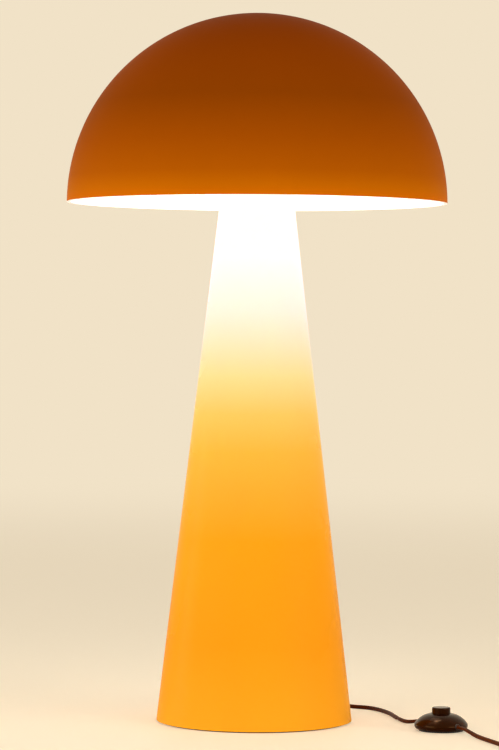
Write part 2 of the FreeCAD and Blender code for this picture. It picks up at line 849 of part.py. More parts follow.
keep(ring_of("leg_ring", leg, LEGS, LEG_CIRCLE, z=FOOT_PLATE_TOP), "carrier_legs")
arms = [placed(spider_arm(f"arm_{n + 1}"), z=SPIDER_FOOT, angle=f"{360 * n / LEGS}") for n in range(LEGS)]
middle_disc = cylinder("middle_disc", "spider_centre_radius", "spider_plate", z=SPIDER_FOOT)
spider_holes = together(
    "spider_holes",
    [
        ring_of("leg_holes", leg_hole, LEGS, LEG_CIRCLE, z=f"{SPIDER_FOOT} - spider_plate"),
        cylinder(
            "shank_hole",
            "spigot_shank_radius + thread_gap",
            "3 * spider_plate",
            z=f"{SPIDER_FOOT} - spider_plate",
        ),
    ],
)
keep(cut("spider", fused("spider_blank", [middle_disc, *arms]), spider_holes), "carrier_spider")
upper_leg_nuts = ring_of("upper_leg_nuts", leg_nut, LEGS, LEG_CIRCLE, z=SPIDER_TOP)
lower_leg_nuts = ring_of("lower_leg_nuts", leg_nut, LEGS, LEG_CIRCLE, z=f"{SPIDER_FOOT} - leg_nut_height")
keep(together("leg_nuts", [upper_leg_nuts, lower_leg_nuts]), "carrier_leg_nuts")
spigot = turned(
    "spigot",
    [
        ("0", SPIDER_FOOT),
        ("spigot_shank_radius", SPIDER_FOOT),
        ("spigot_shank_radius", SPIDER_TOP),
        ("spigot_radius", SPIDER_TOP),
        ("spigot_radius", f"{SPIDER_TOP} + spigot_length - hub_bore_floor"),
        ("spigot_radius - hub_bore_floor", f"{SPIDER_TOP} + spigot_length"),
        ("0", f"{SPIDER_TOP} + spigot_length"),
    ],
)
keep(spigot, "carrier_spigot")

# Lamp holder: a two-part plastic housing on the nipple, around a ceramic insert with the screw shell.
CAP_BASE = f"({UPPER_NUT_TOP} + rest_gap)"
HOLDER_SPLIT = f"({CAP_BASE} + holder_cap_height)"
INSERT_FOOT = f"({HOLDER_SPLIT} - insert_seat)"
INSERT_TOP = f"({INSERT_FOOT} + insert_height)"
HOLDER_TOP = f"({HOLDER_SPLIT} + holder_skirt_height)"
HOLDER_INSIDE = "(holder_radius - holder_wall)"
holder_cap = turned(
    "holder_cap_body",
    [
        ("nipple_radius + thread_gap", CAP_BASE),
        ("nipple_radius + holder_wall", CAP_BASE),
        ("nipple_radius + holder_wall", f"{CAP_BASE} + holder_neck"),
        (
            "holder_radius - holder_shoulder_in",
            f"{CAP_BASE} + holder_shoulder",
            "holder_shoulder_curve",
        ),
        ("holder_radius", f"{CAP_BASE} + holder_shoulder_top"),
        ("holder_radius", HOLDER_SPLIT),
        (HOLDER_INSIDE, HOLDER_SPLIT),
        (HOLDER_INSIDE, INSERT_FOOT),
        (f"{HOLDER_INSIDE} - insert_ledge", INSERT_FOOT),
        (f"{HOLDER_INSIDE} - holder_throat_in", f"{CAP_BASE} + holder_throat"),
        ("nipple_radius + thread_gap", f"{CAP_BASE} + holder_neck_roof"),
    ],
)
keep(holder_cap, "holder_cap")
holder_skirt = turned(
    "holder_skirt_body",
    [
        (HOLDER_INSIDE, HOLDER_SPLIT),
        ("holder_radius", HOLDER_SPLIT),
        ("holder_radius + holder_flare", HOLDER_TOP),
        ("holder_lip_radius", HOLDER_TOP),
        ("holder_lip_radius", f"{HOLDER_TOP} - holder_lip"),
        (f"{HOLDER_INSIDE} + holder_flare", f"{HOLDER_TOP} - holder_lip - holder_flare"),
    ],
)
keep(holder_skirt, "holder_skirt")
SHELL_FOOT = INSERT_TOP
SHELL_OUTER = "(shell_inner_radius + shell_sheet)"
insert_body = turned(
    "insert_body",
    [("0", INSERT_FOOT), ("insert_radius", INSERT_FOOT), ("insert_radius", INSERT_TOP), ("0", INSERT_TOP)],
)


def holder_pair(name, make):
    """Two copies of a piece under the insert, one on each side."""
    pieces = []
    for side in (-1, 1):
        pieces.append(placed(make(f"{name}_{side + 2}"), "0", f"{side} * terminal_spacing / 2"))
    return together(name, pieces)


def terminal_screw(name):
    """A terminal screw, its head under the insert."""
    return turned(
        name,
        [
            ("0", f"{INSERT_FOOT} - terminal_screw_head"),
            ("terminal_screw_head_radius", f"{INSERT_FOOT} - terminal_screw_head"),
            ("terminal_screw_head_radius", INSERT_FOOT),
            ("terminal_screw_radius", INSERT_FOOT),
            ("terminal_screw_radius", f"{INSERT_FOOT} + terminal_screw_length"),
            ("0", f"{INSERT_FOOT} + terminal_screw_length"),
        ],
    )


def terminal_hole(name):
    """The insert's hole for a terminal screw."""
    return turned(
        name,
        [
            ("0", f"{INSERT_FOOT} - seat_gap"),
            ("terminal_screw_radius + thread_gap", f"{INSERT_FOOT} - seat_gap"),
            ("terminal_screw_radius + thread_gap", f"{INSERT_FOOT} + terminal_screw_length + seat_gap"),
            ("0", f"{INSERT_FOOT} + terminal_screw_length + seat_gap"),
        ],
    )


keep(cut("insert", insert_body, holder_pair("terminal_holes", terminal_hole)), "holder_insert")
keep(holder_pair("terminal_screw_pair", terminal_screw), "holder_terminal_screws")
shell = turned(
    "shell",
    [
        ("shell_inner_radius - shell_rim", SHELL_FOOT),
        (SHELL_OUTER, SHELL_FOOT),
        (SHELL_OUTER, f"{SHELL_FOOT} + shell_height"),
        ("shell_inner_radius", f"{SHELL_FOOT} + shell_height"),
        ("shell_inner_radius", f"{SHELL_FOOT} + shell_sheet"),
        ("shell_inner_radius - shell_rim", f"{SHELL_FOOT} + shell_sheet"),
    ],
)
keep(shell, "holder_screw_shell")
tongue = box(
    "tongue",
    "tongue_length",
    "tongue_width",
    "tongue_sheet",
    "-tongue_length / 2",
    "-tongue_width / 2",
    INSERT_TOP,
)
keep(tongue, "holder_centre_contact")

# Bulb: a screw cap with its insulator and contact, a plastic housing with driver and board, an opal globe.
BULB_FOOT = f"({INSERT_TOP} + tongue_sheet + bulb_contact_gap)"
INSULATOR_FOOT = f"({BULB_FOOT} + bulb_contact_height)"
CAP_FOOT_Z = f"({INSULATOR_FOOT} + bulb_insulator_height)"
CAP_TOP_Z = f"({CAP_FOOT_Z} + bulb_cap_height)"
GLOBE_CENTRE = f"({BULB_FOOT} + bulb_length - bulb_radius)"
JOINT = f"({GLOBE_CENTRE} - bulb_joint_drop)"
JOINT_RADIUS = "sqrt(bulb_radius^2 - bulb_joint_drop^2)"
THREADS = 4
contact = turned(
    "contact",
    [
        ("0", BULB_FOOT),
        ("bulb_contact_radius - bulb_contact_round", BULB_FOOT),
        ("bulb_contact_radius", INSULATOR_FOOT),
        ("0", INSULATOR_FOOT),
    ],
)
keep(contact, "bulb_contact")
insulator = turned(
    "insulator",
    [
        ("0", INSULATOR_FOOT),
        ("bulb_contact_radius + bulb_insulator_edge", INSULATOR_FOOT),
        ("bulb_insulator_radius", CAP_FOOT_Z),
        ("0", CAP_FOOT_Z),
    ],
)
keep(insulator, "bulb_insulator")
thread = [("bulb_cap_bore_radius", CAP_FOOT_Z), ("bulb_cap_radius - bulb_cap_lead", CAP_FOOT_Z)]
for number in range(THREADS):
    crest = f"{CAP_FOOT_Z} + {number + 0.5} * bulb_thread_pitch"
    thread.append(("bulb_cap_radius", crest))
    thread.append(("bulb_cap_radius - bulb_thread_depth", f"{crest} + bulb_thread_pitch / 2"))
thread += [
    ("bulb_cap_radius", f"{CAP_FOOT_Z} + {THREADS + 0.5} * bulb_thread_pitch"),
    ("bulb_cap_radius", CAP_TOP_Z),
    ("bulb_cap_bore_radius", CAP_TOP_Z),
]
keep(turned("cap_thread", thread), "bulb_cap")
housing = turned(
    "housing",
    [
        ("bulb_cap_bore_radius - bulb_housing_wall - seat_gap", f"{CAP_TOP_Z} - bulb_housing_root"),
        ("bulb_cap_bore_radius - seat_gap", f"{CAP_TOP_Z} - bulb_housing_root"),
        ("bulb_cap_bore_radius - seat_gap", CAP_TOP_Z),
        ("bulb_cap_radius", CAP_TOP_Z),
        ("bulb_cap_radius + bulb_neck_flare", f"{CAP_TOP_Z} + bulb_neck"),
        (JOINT_RADIUS, JOINT),
        (f"{JOINT_RADIUS} - bulb_housing_wall", JOINT),
        (f"{JOINT_RADIUS} - bulb_housing_wall", f"{JOINT} - bulb_ledge_drop"),
        (f"{JOINT_RADIUS} - bulb_housing_wall - bulb_ledge", f"{JOINT} - bulb_ledge_drop"),
        ("bulb_cap_bore_radius - bulb_housing_wall - seat_gap", f"{CAP_TOP_Z} + bulb_neck_inside"),
    ],
)
keep(housing, "bulb_housing")
globe = turned(
    "globe",
    [
        (JOINT_RADIUS, JOINT, "bulb_radius"),
        ("0", f"{GLOBE_CENTRE} + bulb_radius"),
        ("0", f"{GLOBE_CENTRE} + bulb_radius - bulb_glass_wall", "-(bulb_radius - bulb_glass_wall)"),
        ("sqrt((bulb_radius - bulb_glass_wall)^2 - bulb_joint_drop^2)", JOINT),
    ],
)
keep(globe, "bulb_globe")
BOARD_FOOT = f"({JOINT} - bulb_ledge_drop)"
BOARD_RADIUS = f"({JOINT_RADIUS} - bulb_housing_wall - seat_gap)"
board = cylinder("board", BOARD_RADIUS, "bulb_board_thickness", z=BOARD_FOOT)
keep(board, "bulb_led_board")
driver = box(
    "driver",
    "driver_width",
    "bulb_board_thickness",
    "driver_height",
    "-driver_width / 2",
    "-bulb_board_thickness / 2",
    f"{BOARD_FOOT} - driver_height - seat_gap",
)
keep(driver, "bulb_driver_board")

# Foot switch: a round two-part case on a rubber ring, with a sprung push button in its middle.
SWITCH_FLOOR = "(pad_thickness + switch_floor)"
COVER_INSIDE_TOP = "(switch_cover_top - switch_wall)"
BUTTON_HOLE = "(button_radius + button_gap)"


def at_switch(piece, z="0", angle="0"):
    """Moves a piece that was made about the vertical to the switch's middle."""
    return placed(piece, "switch_x", "switch_y", z, angle)


switch_ring = turned(
    "switch_ring",
    [
        ("switch_pad_radius - switch_pad_width", "0"),
        ("switch_pad_radius", "0"),
        ("switch_pad_radius", "pad_thickness"),
        ("switch_pad_radius - switch_pad_width", "pad_thickness"),
    ],
)
keep(at_switch(switch_ring), "switch_pad")
tray = turned(
    "tray",
    [
        ("0", "pad_thickness"),
        ("switch_foot_radius", "pad_thickness", "switch_foot_curve"),
        ("switch_radius", "switch_seam - switch_band"),
        ("switch_radius", "switch_seam"),
        ("switch_radius - switch_wall", "switch_seam"),
        ("switch_radius - switch_wall", "switch_seam - switch_lap"),
        ("switch_foot_radius - switch_tray_taper", SWITCH_FLOOR),
        ("0", SWITCH_FLOOR),
    ],
)
roof = turned(
    "roof",
    [
        ("switch_radius", "switch_seam", "switch_rim_curve"),
        ("switch_radius - switch_rim_in", "switch_seam + switch_rim_up", "switch_cover_curve"),
        (BUTTON_HOLE, "switch_cover_top"),
        (BUTTON_HOLE, COVER_INSIDE_TOP, "-(switch_cover_curve - switch_wall)"),
        ("switch_radius - switch_wall", "switch_seam + switch_rim_up"),
        ("switch_radius - switch_wall", "switch_seam"),
    ],
)
SCREW_ANGLE = "90"


def post(name):
    """A screw post under the cover."""
    return cylinder(name, "switch_post_radius", f"{COVER_INSIDE_TOP} - {SWITCH_FLOOR} - switch_post_gap")


def switch_screw(name):
    """A countersunk screw, head down in the tray."""
    foot = "(pad_thickness + seat_gap)"
    return turned(
        name,
        [
            ("0", foot),
            ("switch_screw_head_radius", foot),
            ("switch_screw_radius", f"{foot} + switch_screw_head"),
            ("switch_screw_radius", f"{foot} + switch_screw_length"),
            ("0", f"{foot} + switch_screw_length"),
        ],
    )


def switch_screw_hole(name):
    """The space for one switch screw in tray and post."""
    foot = "(pad_thickness + seat_gap)"
    return turned(
        name,
        [
            ("0", "pad_thickness / 2"),
            ("switch_screw_head_radius + thread_gap", "pad_thickness / 2"),
            ("switch_screw_head_radius + thread_gap", foot),
            ("switch_screw_radius + thread_gap", f"{foot} + switch_screw_head"),
            ("switch_screw_radius + thread_gap", f"{foot} + switch_screw_length + switch_screw_room"),
            ("0", f"{foot} + switch_screw_length + switch_screw_room"),
        ],
    )


def entry_hole(name, angle):
    """The round opening for one cord bush, half in the tray and half in the cover."""
    hole = turned(
        name,
        [
            ("switch_bush_inner - switch_hole_inside", "0"),
            ("switch_bush_outer + switch_hole_outside", "0"),
            ("switch_bush_outer + switch_hole_outside", "switch_bush_radius + thread_gap"),
            ("switch_bush_inner - switch_hole_inside", "switch_bush_radius + thread_gap"),
        ],
        axis="H_Axis",
    )
    return placed(hole, z="switch_seam", angle=angle)


def switch_spaces(name):
    """All that is taken out of the tray or the cover."""
    return together(
        name,
        [
            ring_of(f"{name}_screws", switch_screw_hole, 2, "switch_screw_circle", SCREW_ANGLE),
            entry_hole(f"{name}_in", "switch_in_angle"),
            entry_hole(f"{name}_out", "switch_out_angle"),
        ],
    )


keep(at_switch(cut("switch_tray", tray, switch_spaces("tray_spaces"))), "switch_base")
posts = ring_of("posts", post, 2, "switch_screw_circle", SCREW_ANGLE, z=SWITCH_FLOOR)
cover_blank = fused("cover_blank", [roof, *posts.Links])
keep(at_switch(cut("switch_roof", cover_blank, switch_spaces("cover_spaces"))), "switch_cover")
screws = ring_of("switch_screw_pair", switch_screw, 2, "switch_screw_circle", SCREW_ANGLE)
keep(at_switch(screws), "switch_screws")

# The button is a cup with a stem, held in by its flange; the stem carries the moving bridge.
BUTTON_FLANGE_TOP = f"({COVER_INSIDE_TOP} - rest_gap)"
BUTTON_FOOT = f"({BUTTON_FLANGE_TOP} - button_flange_height)"
BUTTON_INSIDE = "(button_radius - button_wall)"
CONTACT_TOP = f"({SWITCH_FLOOR} + contact_height)"
BRIDGE_FOOT = f"({CONTACT_TOP} + press_gap + press_travel)"
STEM_FOOT = f"({BRIDGE_FOOT} + bridge_thickness)"
button = turned(
    "button",
    [
        ("0", STEM_FOOT),
        ("button_stem_radius", STEM_FOOT),
        ("button_stem_radius", "button_top - button_roof"),
        (BUTTON_INSIDE, "button_top - button_roof"),
        (BUTTON_INSIDE, BUTTON_FOOT),
        ("button_radius + button_flange", BUTTON_FOOT),
        ("button_radius + button_flange", BUTTON_FLANGE_TOP),
        ("button_radius", BUTTON_FLANGE_TOP),
        ("button_radius", "button_top - button_edge", "button_edge"),
        ("button_radius - button_edge", "button_top"),
        ("0", "button_top"),
    ],
)
keep(at_switch(button), "switch_button")
keep(at_switch(cylinder("bridge_disc", "bridge_radius", "bridge_thickness"), BRIDGE_FOOT), "switch_bridge")


def strip(name):
    """A contact strip on the tray, from its pillar under the bridge out to its terminal."""
    length = "terminal_circle + terminal_block / 2 - contact_spacing / 2 + contact_radius"
    bar = box(
        f"{name}_bar",
        length,
        "strip_width",
        "strip_sheet",
        "contact_spacing / 2 - contact_radius",
        "-strip_width / 2",
        "0",
    )
    pillar = cylinder(f"{name}_pillar", "contact_radius", "contact_height", x="contact_spacing / 2")
    return fused(name, [bar, pillar])


def terminal(name):
    """A terminal block on the end of a strip."""
    half = "-terminal_block / 2"
    body = box(name + "_cube", "terminal_block", "terminal_block", "terminal_block", half, half, "0")
    return cut(name, body, cylinder(name + "_bore", "terminal_screw_radius + thread_gap", "2 * terminal_block"))


def block_screw(name):
    """A clamping screw in a terminal block."""
    head_radius = "terminal_screw_head_radius - block_screw_inset"
    head = cylinder(f"{name}_head", head_radius, "terminal_screw_head / 2", z="terminal_block")
    shank = cylinder(f"{name}_shank", "terminal_screw_radius", "terminal_block")
    return fused(name, [shank, head])


STRIP_TOP = f"({SWITCH_FLOOR} + strip_sheet)"
keep(at_switch(ring_of("strips", strip, 2, z=SWITCH_FLOOR)), "switch_contact_strips")
keep(at_switch(ring_of("terminals", terminal, 2, "terminal_circle", z=STRIP_TOP)), "switch_terminals")
block_screws = ring_of("block_screws", block_screw, 2, "terminal_circle", z=STRIP_TOP)
keep(at_switch(block_screws), "switch_terminal_screws")
washer = turned(
    "washer",
    [
        ("bridge_radius + seat_gap", STRIP_TOP),
        ("spring_radius + 2 * spring_wire_radius", STRIP_TOP),
        ("spring_radius + 2 * spring_wire_radius", f"{STRIP_TOP} + spring_washer"),
        ("bridge_radius + seat_gap", f"{STRIP_TOP} + spring_washer"),
    ],
)
keep(at_switch(washer), "switch_spring_washer")


def switch_bush(name):
    """A rubber bush round the cord where it enters the switch, with a flange inside the wall."""
    return turned(
        name,
        [
            ("switch_bush_inner", "cord_radius + thread_gap"),
            ("switch_bush_outer", "cord_radius + thread_gap"),
            ("switch_bush_outer", "switch_bush_radius - switch_bush_bevel_in"),
            ("switch_bush_outer - switch_bush_bevel", "switch_bush_radius"),
            ("switch_bush_inner", "switch_bush_radius"),
        ],
        axis="H_Axis",
    )


def switch_lead(name):
    """The end of a cord's sheath inside the switch."""
    return turned(
        name,
        [
            ("switch_lead_inner", "0"),
            ("switch_bush_outer", "0"),
            ("switch_bush_outer", "cord_radius"),
            ("switch_lead_inner", "cord_radius"),
        ],
        axis="H_Axis",
    )


for label, make in (("switch_bushes", switch_bush), ("switch_cord_ends", switch_lead)):
    entries = [
        placed(make(f"{label}_in"), z="switch_seam", angle="switch_in_angle"),
        placed(make(f"{label}_out"), z="switch_seam", angle="switch_out_angle"),
    ]
    keep(at_switch(together(f"{label}_pair", entries)), label)


# Shapes below follow routes of points, so they are worked out here from the sheet's numbers.
def polar(radius, angle, height):
    """A point at a radius and angle about the vertical."""
    turn = math.radians(angle)
    return (radius * math.cos(turn), radius * math.sin(turn), height)


def biarc(first, first_way, last, last_way):
    """Two arcs from first to last that leave and arrive along the given unit directions."""
    across = last - first
    ways = first_way + last_way
    square = 2 * (1 - first_way.dot(last_way))
    reach = across.dot(ways)
    if abs(square) < 1e-9:
        length = across.dot(across) / (4 * across.dot(last_way))
    else:
        length = (-reach + math.sqrt(reach**2 + square * across.dot(across))) / square
    joint = (first + last + (first_way - last_way) * length) / 2
    edges = []
    for start, way, end in ((first, first_way, joint), (last, last_way * -1, joint)):
        chord = end - start
        turn = way.getAngle(chord)
        if turn < 1e-6:
            edges.append(Part.LineSegment(start, end).toShape())
            continue
        side = (way * math.cos(turn) - chord.normalize()) * -1
        side = side - way * side.dot(way)
        side.normalize()
        radius = (end - start).Length / (2 * math.sin(turn))
        centre = start + side * radius
        halfway = start + way * (radius * math.sin(turn)) + side * (radius * (1 - math.cos(turn)))
        edges.append(Part.Arc(start, halfway, end).toShape())
    return edges


def wound_edges(places):
    """Biarcs through (point, direction) pairs."""
    edges = []
    for (first, first_way), (last, last_way) in zip(places, places[1:]):
        edges += biarc(first, first_way, last, last_way)
    return edges


def least_gap(points, thickness, apart):
    """The least space between a winding's passes, from points along its middle."""
    best = math.inf
    for index, here in enumerate(points):
        for there in points[index + apart :]:
            best = min(best, (here - there).Length)
    return best - thickness


# Spring: a cylindrical compression spring between the washer and the button's roof.
SPRING_TURNS = 6
spring_foot = value(f"{STRIP_TOP} + spring_washer + spring_wire_radius + seat_gap")
spring_top = value("button_top - button_roof - spring_wire_radius - seat_gap")
spring_radius = value("spring_radius")
spring_rise = (spring_top - spring_foot) / (2 * math.pi * SPRING_TURNS)
spring_places = []
for quarter in range(4 * SPRING_TURNS + 1):
    turn = quarter * math.pi / 2
    point = FreeCAD.Vector(
        spring_radius * math.cos(turn), spring_radius * math.sin(turn), spring_foot + spring_rise * turn
    )
    way = FreeCAD.Vector(-spring_radius * math.sin(turn), spring_radius * math.cos(turn), spring_rise)
    spring_places.append((point, way.normalize()))
spring = swept("switch_spring", wound_edges(spring_places), value("spring_wire_radius"))
from_shape("switch_spring", spring, "switch_x", "switch_y")

# Wires inside the switch: one core to each terminal, and one that passes round from cord to cord.
seam = value("switch_seam")
wire_radius = value("wire_radius")
lead_inner = value("switch_lead_inner")
in_angle, out_angle = value("switch_in_angle"), value("switch_out_angle")
terminal_middle = value("terminal_circle")
terminal_face = value("terminal_block") / 2 + 0.1
terminal_level = value(f"{STRIP_TOP} + terminal_block / 2 - 1")
round_radius = lead_inner + 1


def near_entry(angle, inward, aside, height):
    """A point this far inside a cord's end in the switch, aside towards larger angles."""
    turn = math.radians(angle)
    reach = lead_inner - inward
    across = reach * math.cos(turn) - aside * math.sin(turn)
    return (across, reach * math.sin(turn) + aside * math.cos(turn), height)


live_route = [
    near_entry(in_angle, 0, -0.9, seam - 1),
    near_entry(in_angle, 2.4, -0.9, seam - 1),
    (-terminal_middle + 2, terminal_face + 7, terminal_level),
    (-terminal_middle, terminal_face + 3, terminal_level),
    (-terminal_middle, terminal_face, terminal_level),
]
live_in = tube("live_core", live_route, wire_radius)
live_out = live_in.copy()
live_out.rotate(FreeCAD.Vector(), FreeCAD.Vector(0, 0, 1), out_angle - in_angle)
passing = [
    near_entry(in_angle, 0, 1.3, seam + 0.6),
    near_entry(in_angle, 1.6, 1.3, seam + 0.6),
    polar(round_radius - 1.6, in_angle + 20, seam),
]
passing += [polar(round_radius, in_angle + angle, seam - 0.6) for angle in (40, 62, 84, 106, 128, 148)]
passing += [
    polar(round_radius - 1.6, out_angle - 20, seam),
    near_entry(out_angle, 1.6, -1.3, seam + 0.6),
    near_entry(out_angle, 0, -1.3, seam + 0.6),
]
wires = Part.makeCompound([live_in, live_out, tube("passing_core", passing, wire_radius)])
from_shape("switch_wires", wires, "switch_x", "switch_y")

# Cord inside the lamp: through the bush, under the clamp, up the cone and through the nipple.
cord_radius = value("cord_radius")
plate_level = value(CORD_ON_PLATE)
bush_height = value(BUSH_HEIGHT)
sleeve_end = value(SLEEVE_END)
clamp_circle = value(CLAMP_CIRCLE)
sheath_top = value(f"{NIPPLE_TOP} + sheath_end")
stem_top = value("stem_top")
inner_route = [
    (sleeve_end, 0, bush_height),
    (value(BUSH_IN) - 7, 0, bush_height),
    (clamp_circle + 14, 0, plate_level),
    (clamp_circle - 14, 0, plate_level),
    (clamp_circle - 46, 3, plate_level + 9),
    (9, 4, plate_level + 52),
    (-5, 6, 0.26 * stem_top),
    (5, -6, 0.52 * stem_top),
    (0, 0, stem_top - 90),
    (0, 0, sheath_top),
]
inner = tube("cord_in_stem", inner_route, cord_radius)
from_shape("cord_in_stem", inner, angle="cord_angle")

# Cores in the lamp holder: from the sheath's end to the two terminal screws.
terminal_y = value("terminal_spacing") / 2
screw_head_z = value(f"{INSERT_FOOT} - terminal_screw_head")
core_offset = 1.2
cores = []
for side in (-1, 1):
    core_route = [
        (0, side * core_offset, sheath_top),
        (0, side * core_offset, sheath_top + 1.8),
        (0, side * terminal_y, screw_head_z - 2.2),
        (0, side * terminal_y, screw_head_z),
    ]
    cores.append(tube("core", core_route, wire_radius))
from_shape("holder_wires", Part.makeCompound(cores))

# Cord from the lamp to the switch: out behind the cone, down to the floor and round to the right.
u_cos, u_sin = math.cos(math.radians(value("cord_angle"))), math.sin(math.radians(value("cord_angle")))
switch_x, switch_y = value("switch_x"), value("switch_y")
bush_outer = value("switch_bush_outer")
entry = polar(bush_outer, in_angle, seam)
entry_way = polar(1, in_angle + 180, 0)
leaving = polar(bush_outer, out_angle, seam)
leaving_way = polar(1, out_angle, 0)
first_cord = [
    (sleeve_end * u_cos, sleeve_end * u_sin, bush_height),
    ((sleeve_end + 15) * u_cos, (sleeve_end + 15) * u_sin, bush_height),
    (51.6, 159.8, 12.5),
    (69.3, 163, 7.5),
    (86, 156.2, 3.4),
    (99, 142.5, 2.5),
    (110.5, 127.5, 2.5),
    (124.5, 115.5, 2.5),
    (141, 107, 2.5),
    (152.3, 89, 2.5),
    (160.5, 67, 2.5),
    (167, 43, 2.5),
    (170, 14, 2.5),
    (174, -9, 2.5),
    (179.5, -24.5, 3.3),
    (186.8, -35.3, 5),
    (switch_x + entry[0] - 10 * entry_way[0], switch_y + entry[1] - 10 * entry_way[1], seam),
    (switch_x + entry[0], switch_y + entry[1], seam),
]
from_shape("cord_lamp_to_switch", tube("cord_lamp_to_switch", first_cord, cord_radius))

# Cord from the switch to the coil: down to the floor and away to the front right.
coil_radius = value("coil_outer_radius")
coil_x, coil_y = value("coil_x"), value("coil_y")
pitch = value("coil_pitch")
start_angle = value("coil_start_angle")
coil_start = polar(coil_radius, start_angle, cord_radius)
coil_way = polar(1, start_angle + 90, 0)
second_cord = [
    (switch_x + leaving[0], switch_y + leaving[1], seam),
    (switch_x + leaving[0] + 10 * leaving_way[0], switch_y + leaving[1] + 10 * leaving_way[1], seam),
    (246.3, -123.5, 4.8),
    (251.3, -136.5, 3),
    (255.3, -152, 2.5),
    (260.5, -170, 2.5),
    (267.5, -190, 2.5),
    (274.5, -210.5, 2.5),
    (coil_x + coil_start[0] - 22 * coil_way[0], coil_y + coil_start[1] - 22 * coil_way[1], cord_radius),
    (coil_x + coil_start[0], coil_y + coil_start[1], cord_radius),
]
from_shape("cord_switch_to_coil", tube("cord_switch_to_coil", second_cord, cord_radius))


# Coil: the spare cord wound in on the floor, up one layer at the inner turn and out again on top.
def coil_place(turned_by):
    """A point of the coil's middle line after this many turns, about the coil's own centre."""
    turns_in, turns_out = value("coil_turns_in"), value("coil_turns_out")
    angle = math.radians(start_angle) + 2 * math.pi * turned_by
    inner_radius = coil_radius - pitch * turns_in
    if turned_by < turns_in:
        radius, height = coil_radius - pitch * turned_by, 0.0
    elif turned_by < turns_in + 0.5:
        climb = 2 * math.pi * (turned_by - turns_in)
        radius = inner_radius - pitch / 4 * math.sin(climb)
        height = pitch * (1 - math.cos(climb)) / 2
    else:
        radius, height = inner_radius + pitch * (turned_by - turns_in - 0.5), pitch
    return FreeCAD.Vector(radius * math.cos(angle), radius * math.sin(angle), cord_radius + height)


def coil_way_at(turned_by, total):
    """The coil's direction there."""
    step = 1e-4
    first, last = max(0, turned_by - step), min(total, turned_by + step)
    return (coil_place(last) - coil_place(first)).normalize()


coil_turns = value("coil_turns_in + 0.5 + coil_turns_out")
quarters = round(4 * coil_turns)
coil_places = []
for quarter in range(quarters + 1):
    turned_by = coil_turns * quarter / quarters
    coil_places.append((coil_place(turned_by), coil_way_at(turned_by, coil_turns)))
coil_places[0] = (coil_places[0][0], FreeCAD.Vector(*coil_way))
end_point = coil_places[-1][0]
end_angle = start_angle + 360 * coil_turns
end_way = FreeCAD.Vector(*polar(1, end_angle + 90, 0))
plug_level = value("plug_thickness") / 2
tail_bend = end_point + end_way * (value("coil_tail") - 2 * cord_radius)
tail_bend.z = plug_level
tail_end = tail_bend + end_way * (2 * cord_radius)
coil_places.append((tail_bend, end_way))
samples = [coil_place(coil_turns * step / 600) for step in range(601)]
print(f"cord_coil: least gap to itself {least_gap(samples, 2 * cord_radius, 60):.2f}")
coil_edges = wound_edges(coil_places) + [Part.LineSegment(tail_bend, tail_end).toShape()]
from_shape("cord_coil", swept("cord_coil", coil_edges, cord_radius), "coil_x", "coil_y")

# Plug: a flat moulded body with two part-sleeved round pins, lying on the floor beside the coil.
plug_angle = (end_angle + 90) % 360
BOOT = "plug_boot_length"
shell_body = doc.addObject("PartDesign::Body", "plug_shell")
plan = outline(
    shell_body,
    [
        (BOOT, "-plug_back_width / 2"),
        (f"{BOOT} + plug_length - plug_face_depth", "-plug_width / 2"),
        (f"{BOOT} + plug_length", "-plug_width / 2"),
        (f"{BOOT} + plug_length", "plug_width / 2"),
        (f"{BOOT} + plug_length - plug_face_depth", "plug_width / 2"),
        (BOOT, "plug_back_width / 2"),
    ],
    "XY_Plane",
)
slab = shell_body.newObject("PartDesign::Pad", "slab")
slab.Profile = plan
slab.Midplane = True
slab.setExpression("Length", bound("plug_thickness"))
doc.recompute()
rounded = shell_body.newObject("PartDesign::Fillet", "rounded")
rounded.Base = (slab, [f"Edge{number + 1}" for number in range(len(slab.Shape.Edges))])
rounded.setExpression("Radius", bound("plug_edge"))
boot = turned(
    "boot",
    [
        ("0", "0"),
        (f"{BOOT} + plug_face_depth", "0"),
        (f"{BOOT} + plug_face_depth", "plug_boot_radius"),
        (BOOT, "plug_boot_radius"),
        ("0", "plug_boot_end_radius"),
    ],
    axis="H_Axis",
)


def plug_pair(name, make):
    """Two copies of a piece at the plug's pins."""
    pieces = []
    for side in (-1, 1):
        pieces.append(placed(make(f"{name}_{side + 2}"), "0", f"{side} * pin_spacing / 2"))
    return together(name, pieces)


FACE = f"({BOOT} + plug_length)"
SLEEVE_TIP = f"({FACE} + pin_sleeve_length)"


def pin_core(name):
    """A brass pin: thin inside its sleeve, full size at its rounded tip."""
    return turned(
        name,
        [
            (f"{FACE} - pin_root", "0"),
            (f"{FACE} + pin_length", "0"),
            (f"{FACE} + pin_length", "pin_radius - pin_tip"),
            (f"{FACE} + pin_length - pin_tip", "pin_radius"),
            (SLEEVE_TIP, "pin_radius"),
            (SLEEVE_TIP, "pin_core_radius"),
            (f"{FACE} - pin_root", "pin_core_radius"),
        ],
        axis="H_Axis",
    )


def pin_sleeve(name):
    """The insulating sleeve round a pin's root."""
    return turned(
        name,
        [
            (f"{FACE} - pin_root", "pin_core_radius + thread_gap"),
            (f"{SLEEVE_TIP} - thread_gap", "pin_core_radius + thread_gap"),
            (f"{SLEEVE_TIP} - thread_gap", "pin_sleeve_radius"),
            (f"{FACE} - pin_root", "pin_sleeve_radius"),
        ],
        axis="H_Axis",
    )


def pin_hole(name):
    """The plug body's hole for a pin."""
    return turned(
        name,
        [
            (f"{FACE} - pin_root - thread_gap", "0"),
            (f"{FACE} + pin_length", "0"),
            (f"{FACE} + pin_length", "pin_sleeve_radius + thread_gap"),
            (f"{FACE} - pin_root - thread_gap", "pin_sleeve_radius + thread_gap"),
        ],
        axis="H_Axis",
    )


plug_x, plug_y = f"coil_x + {tail_end.x}", f"coil_y + {tail_end.y}"


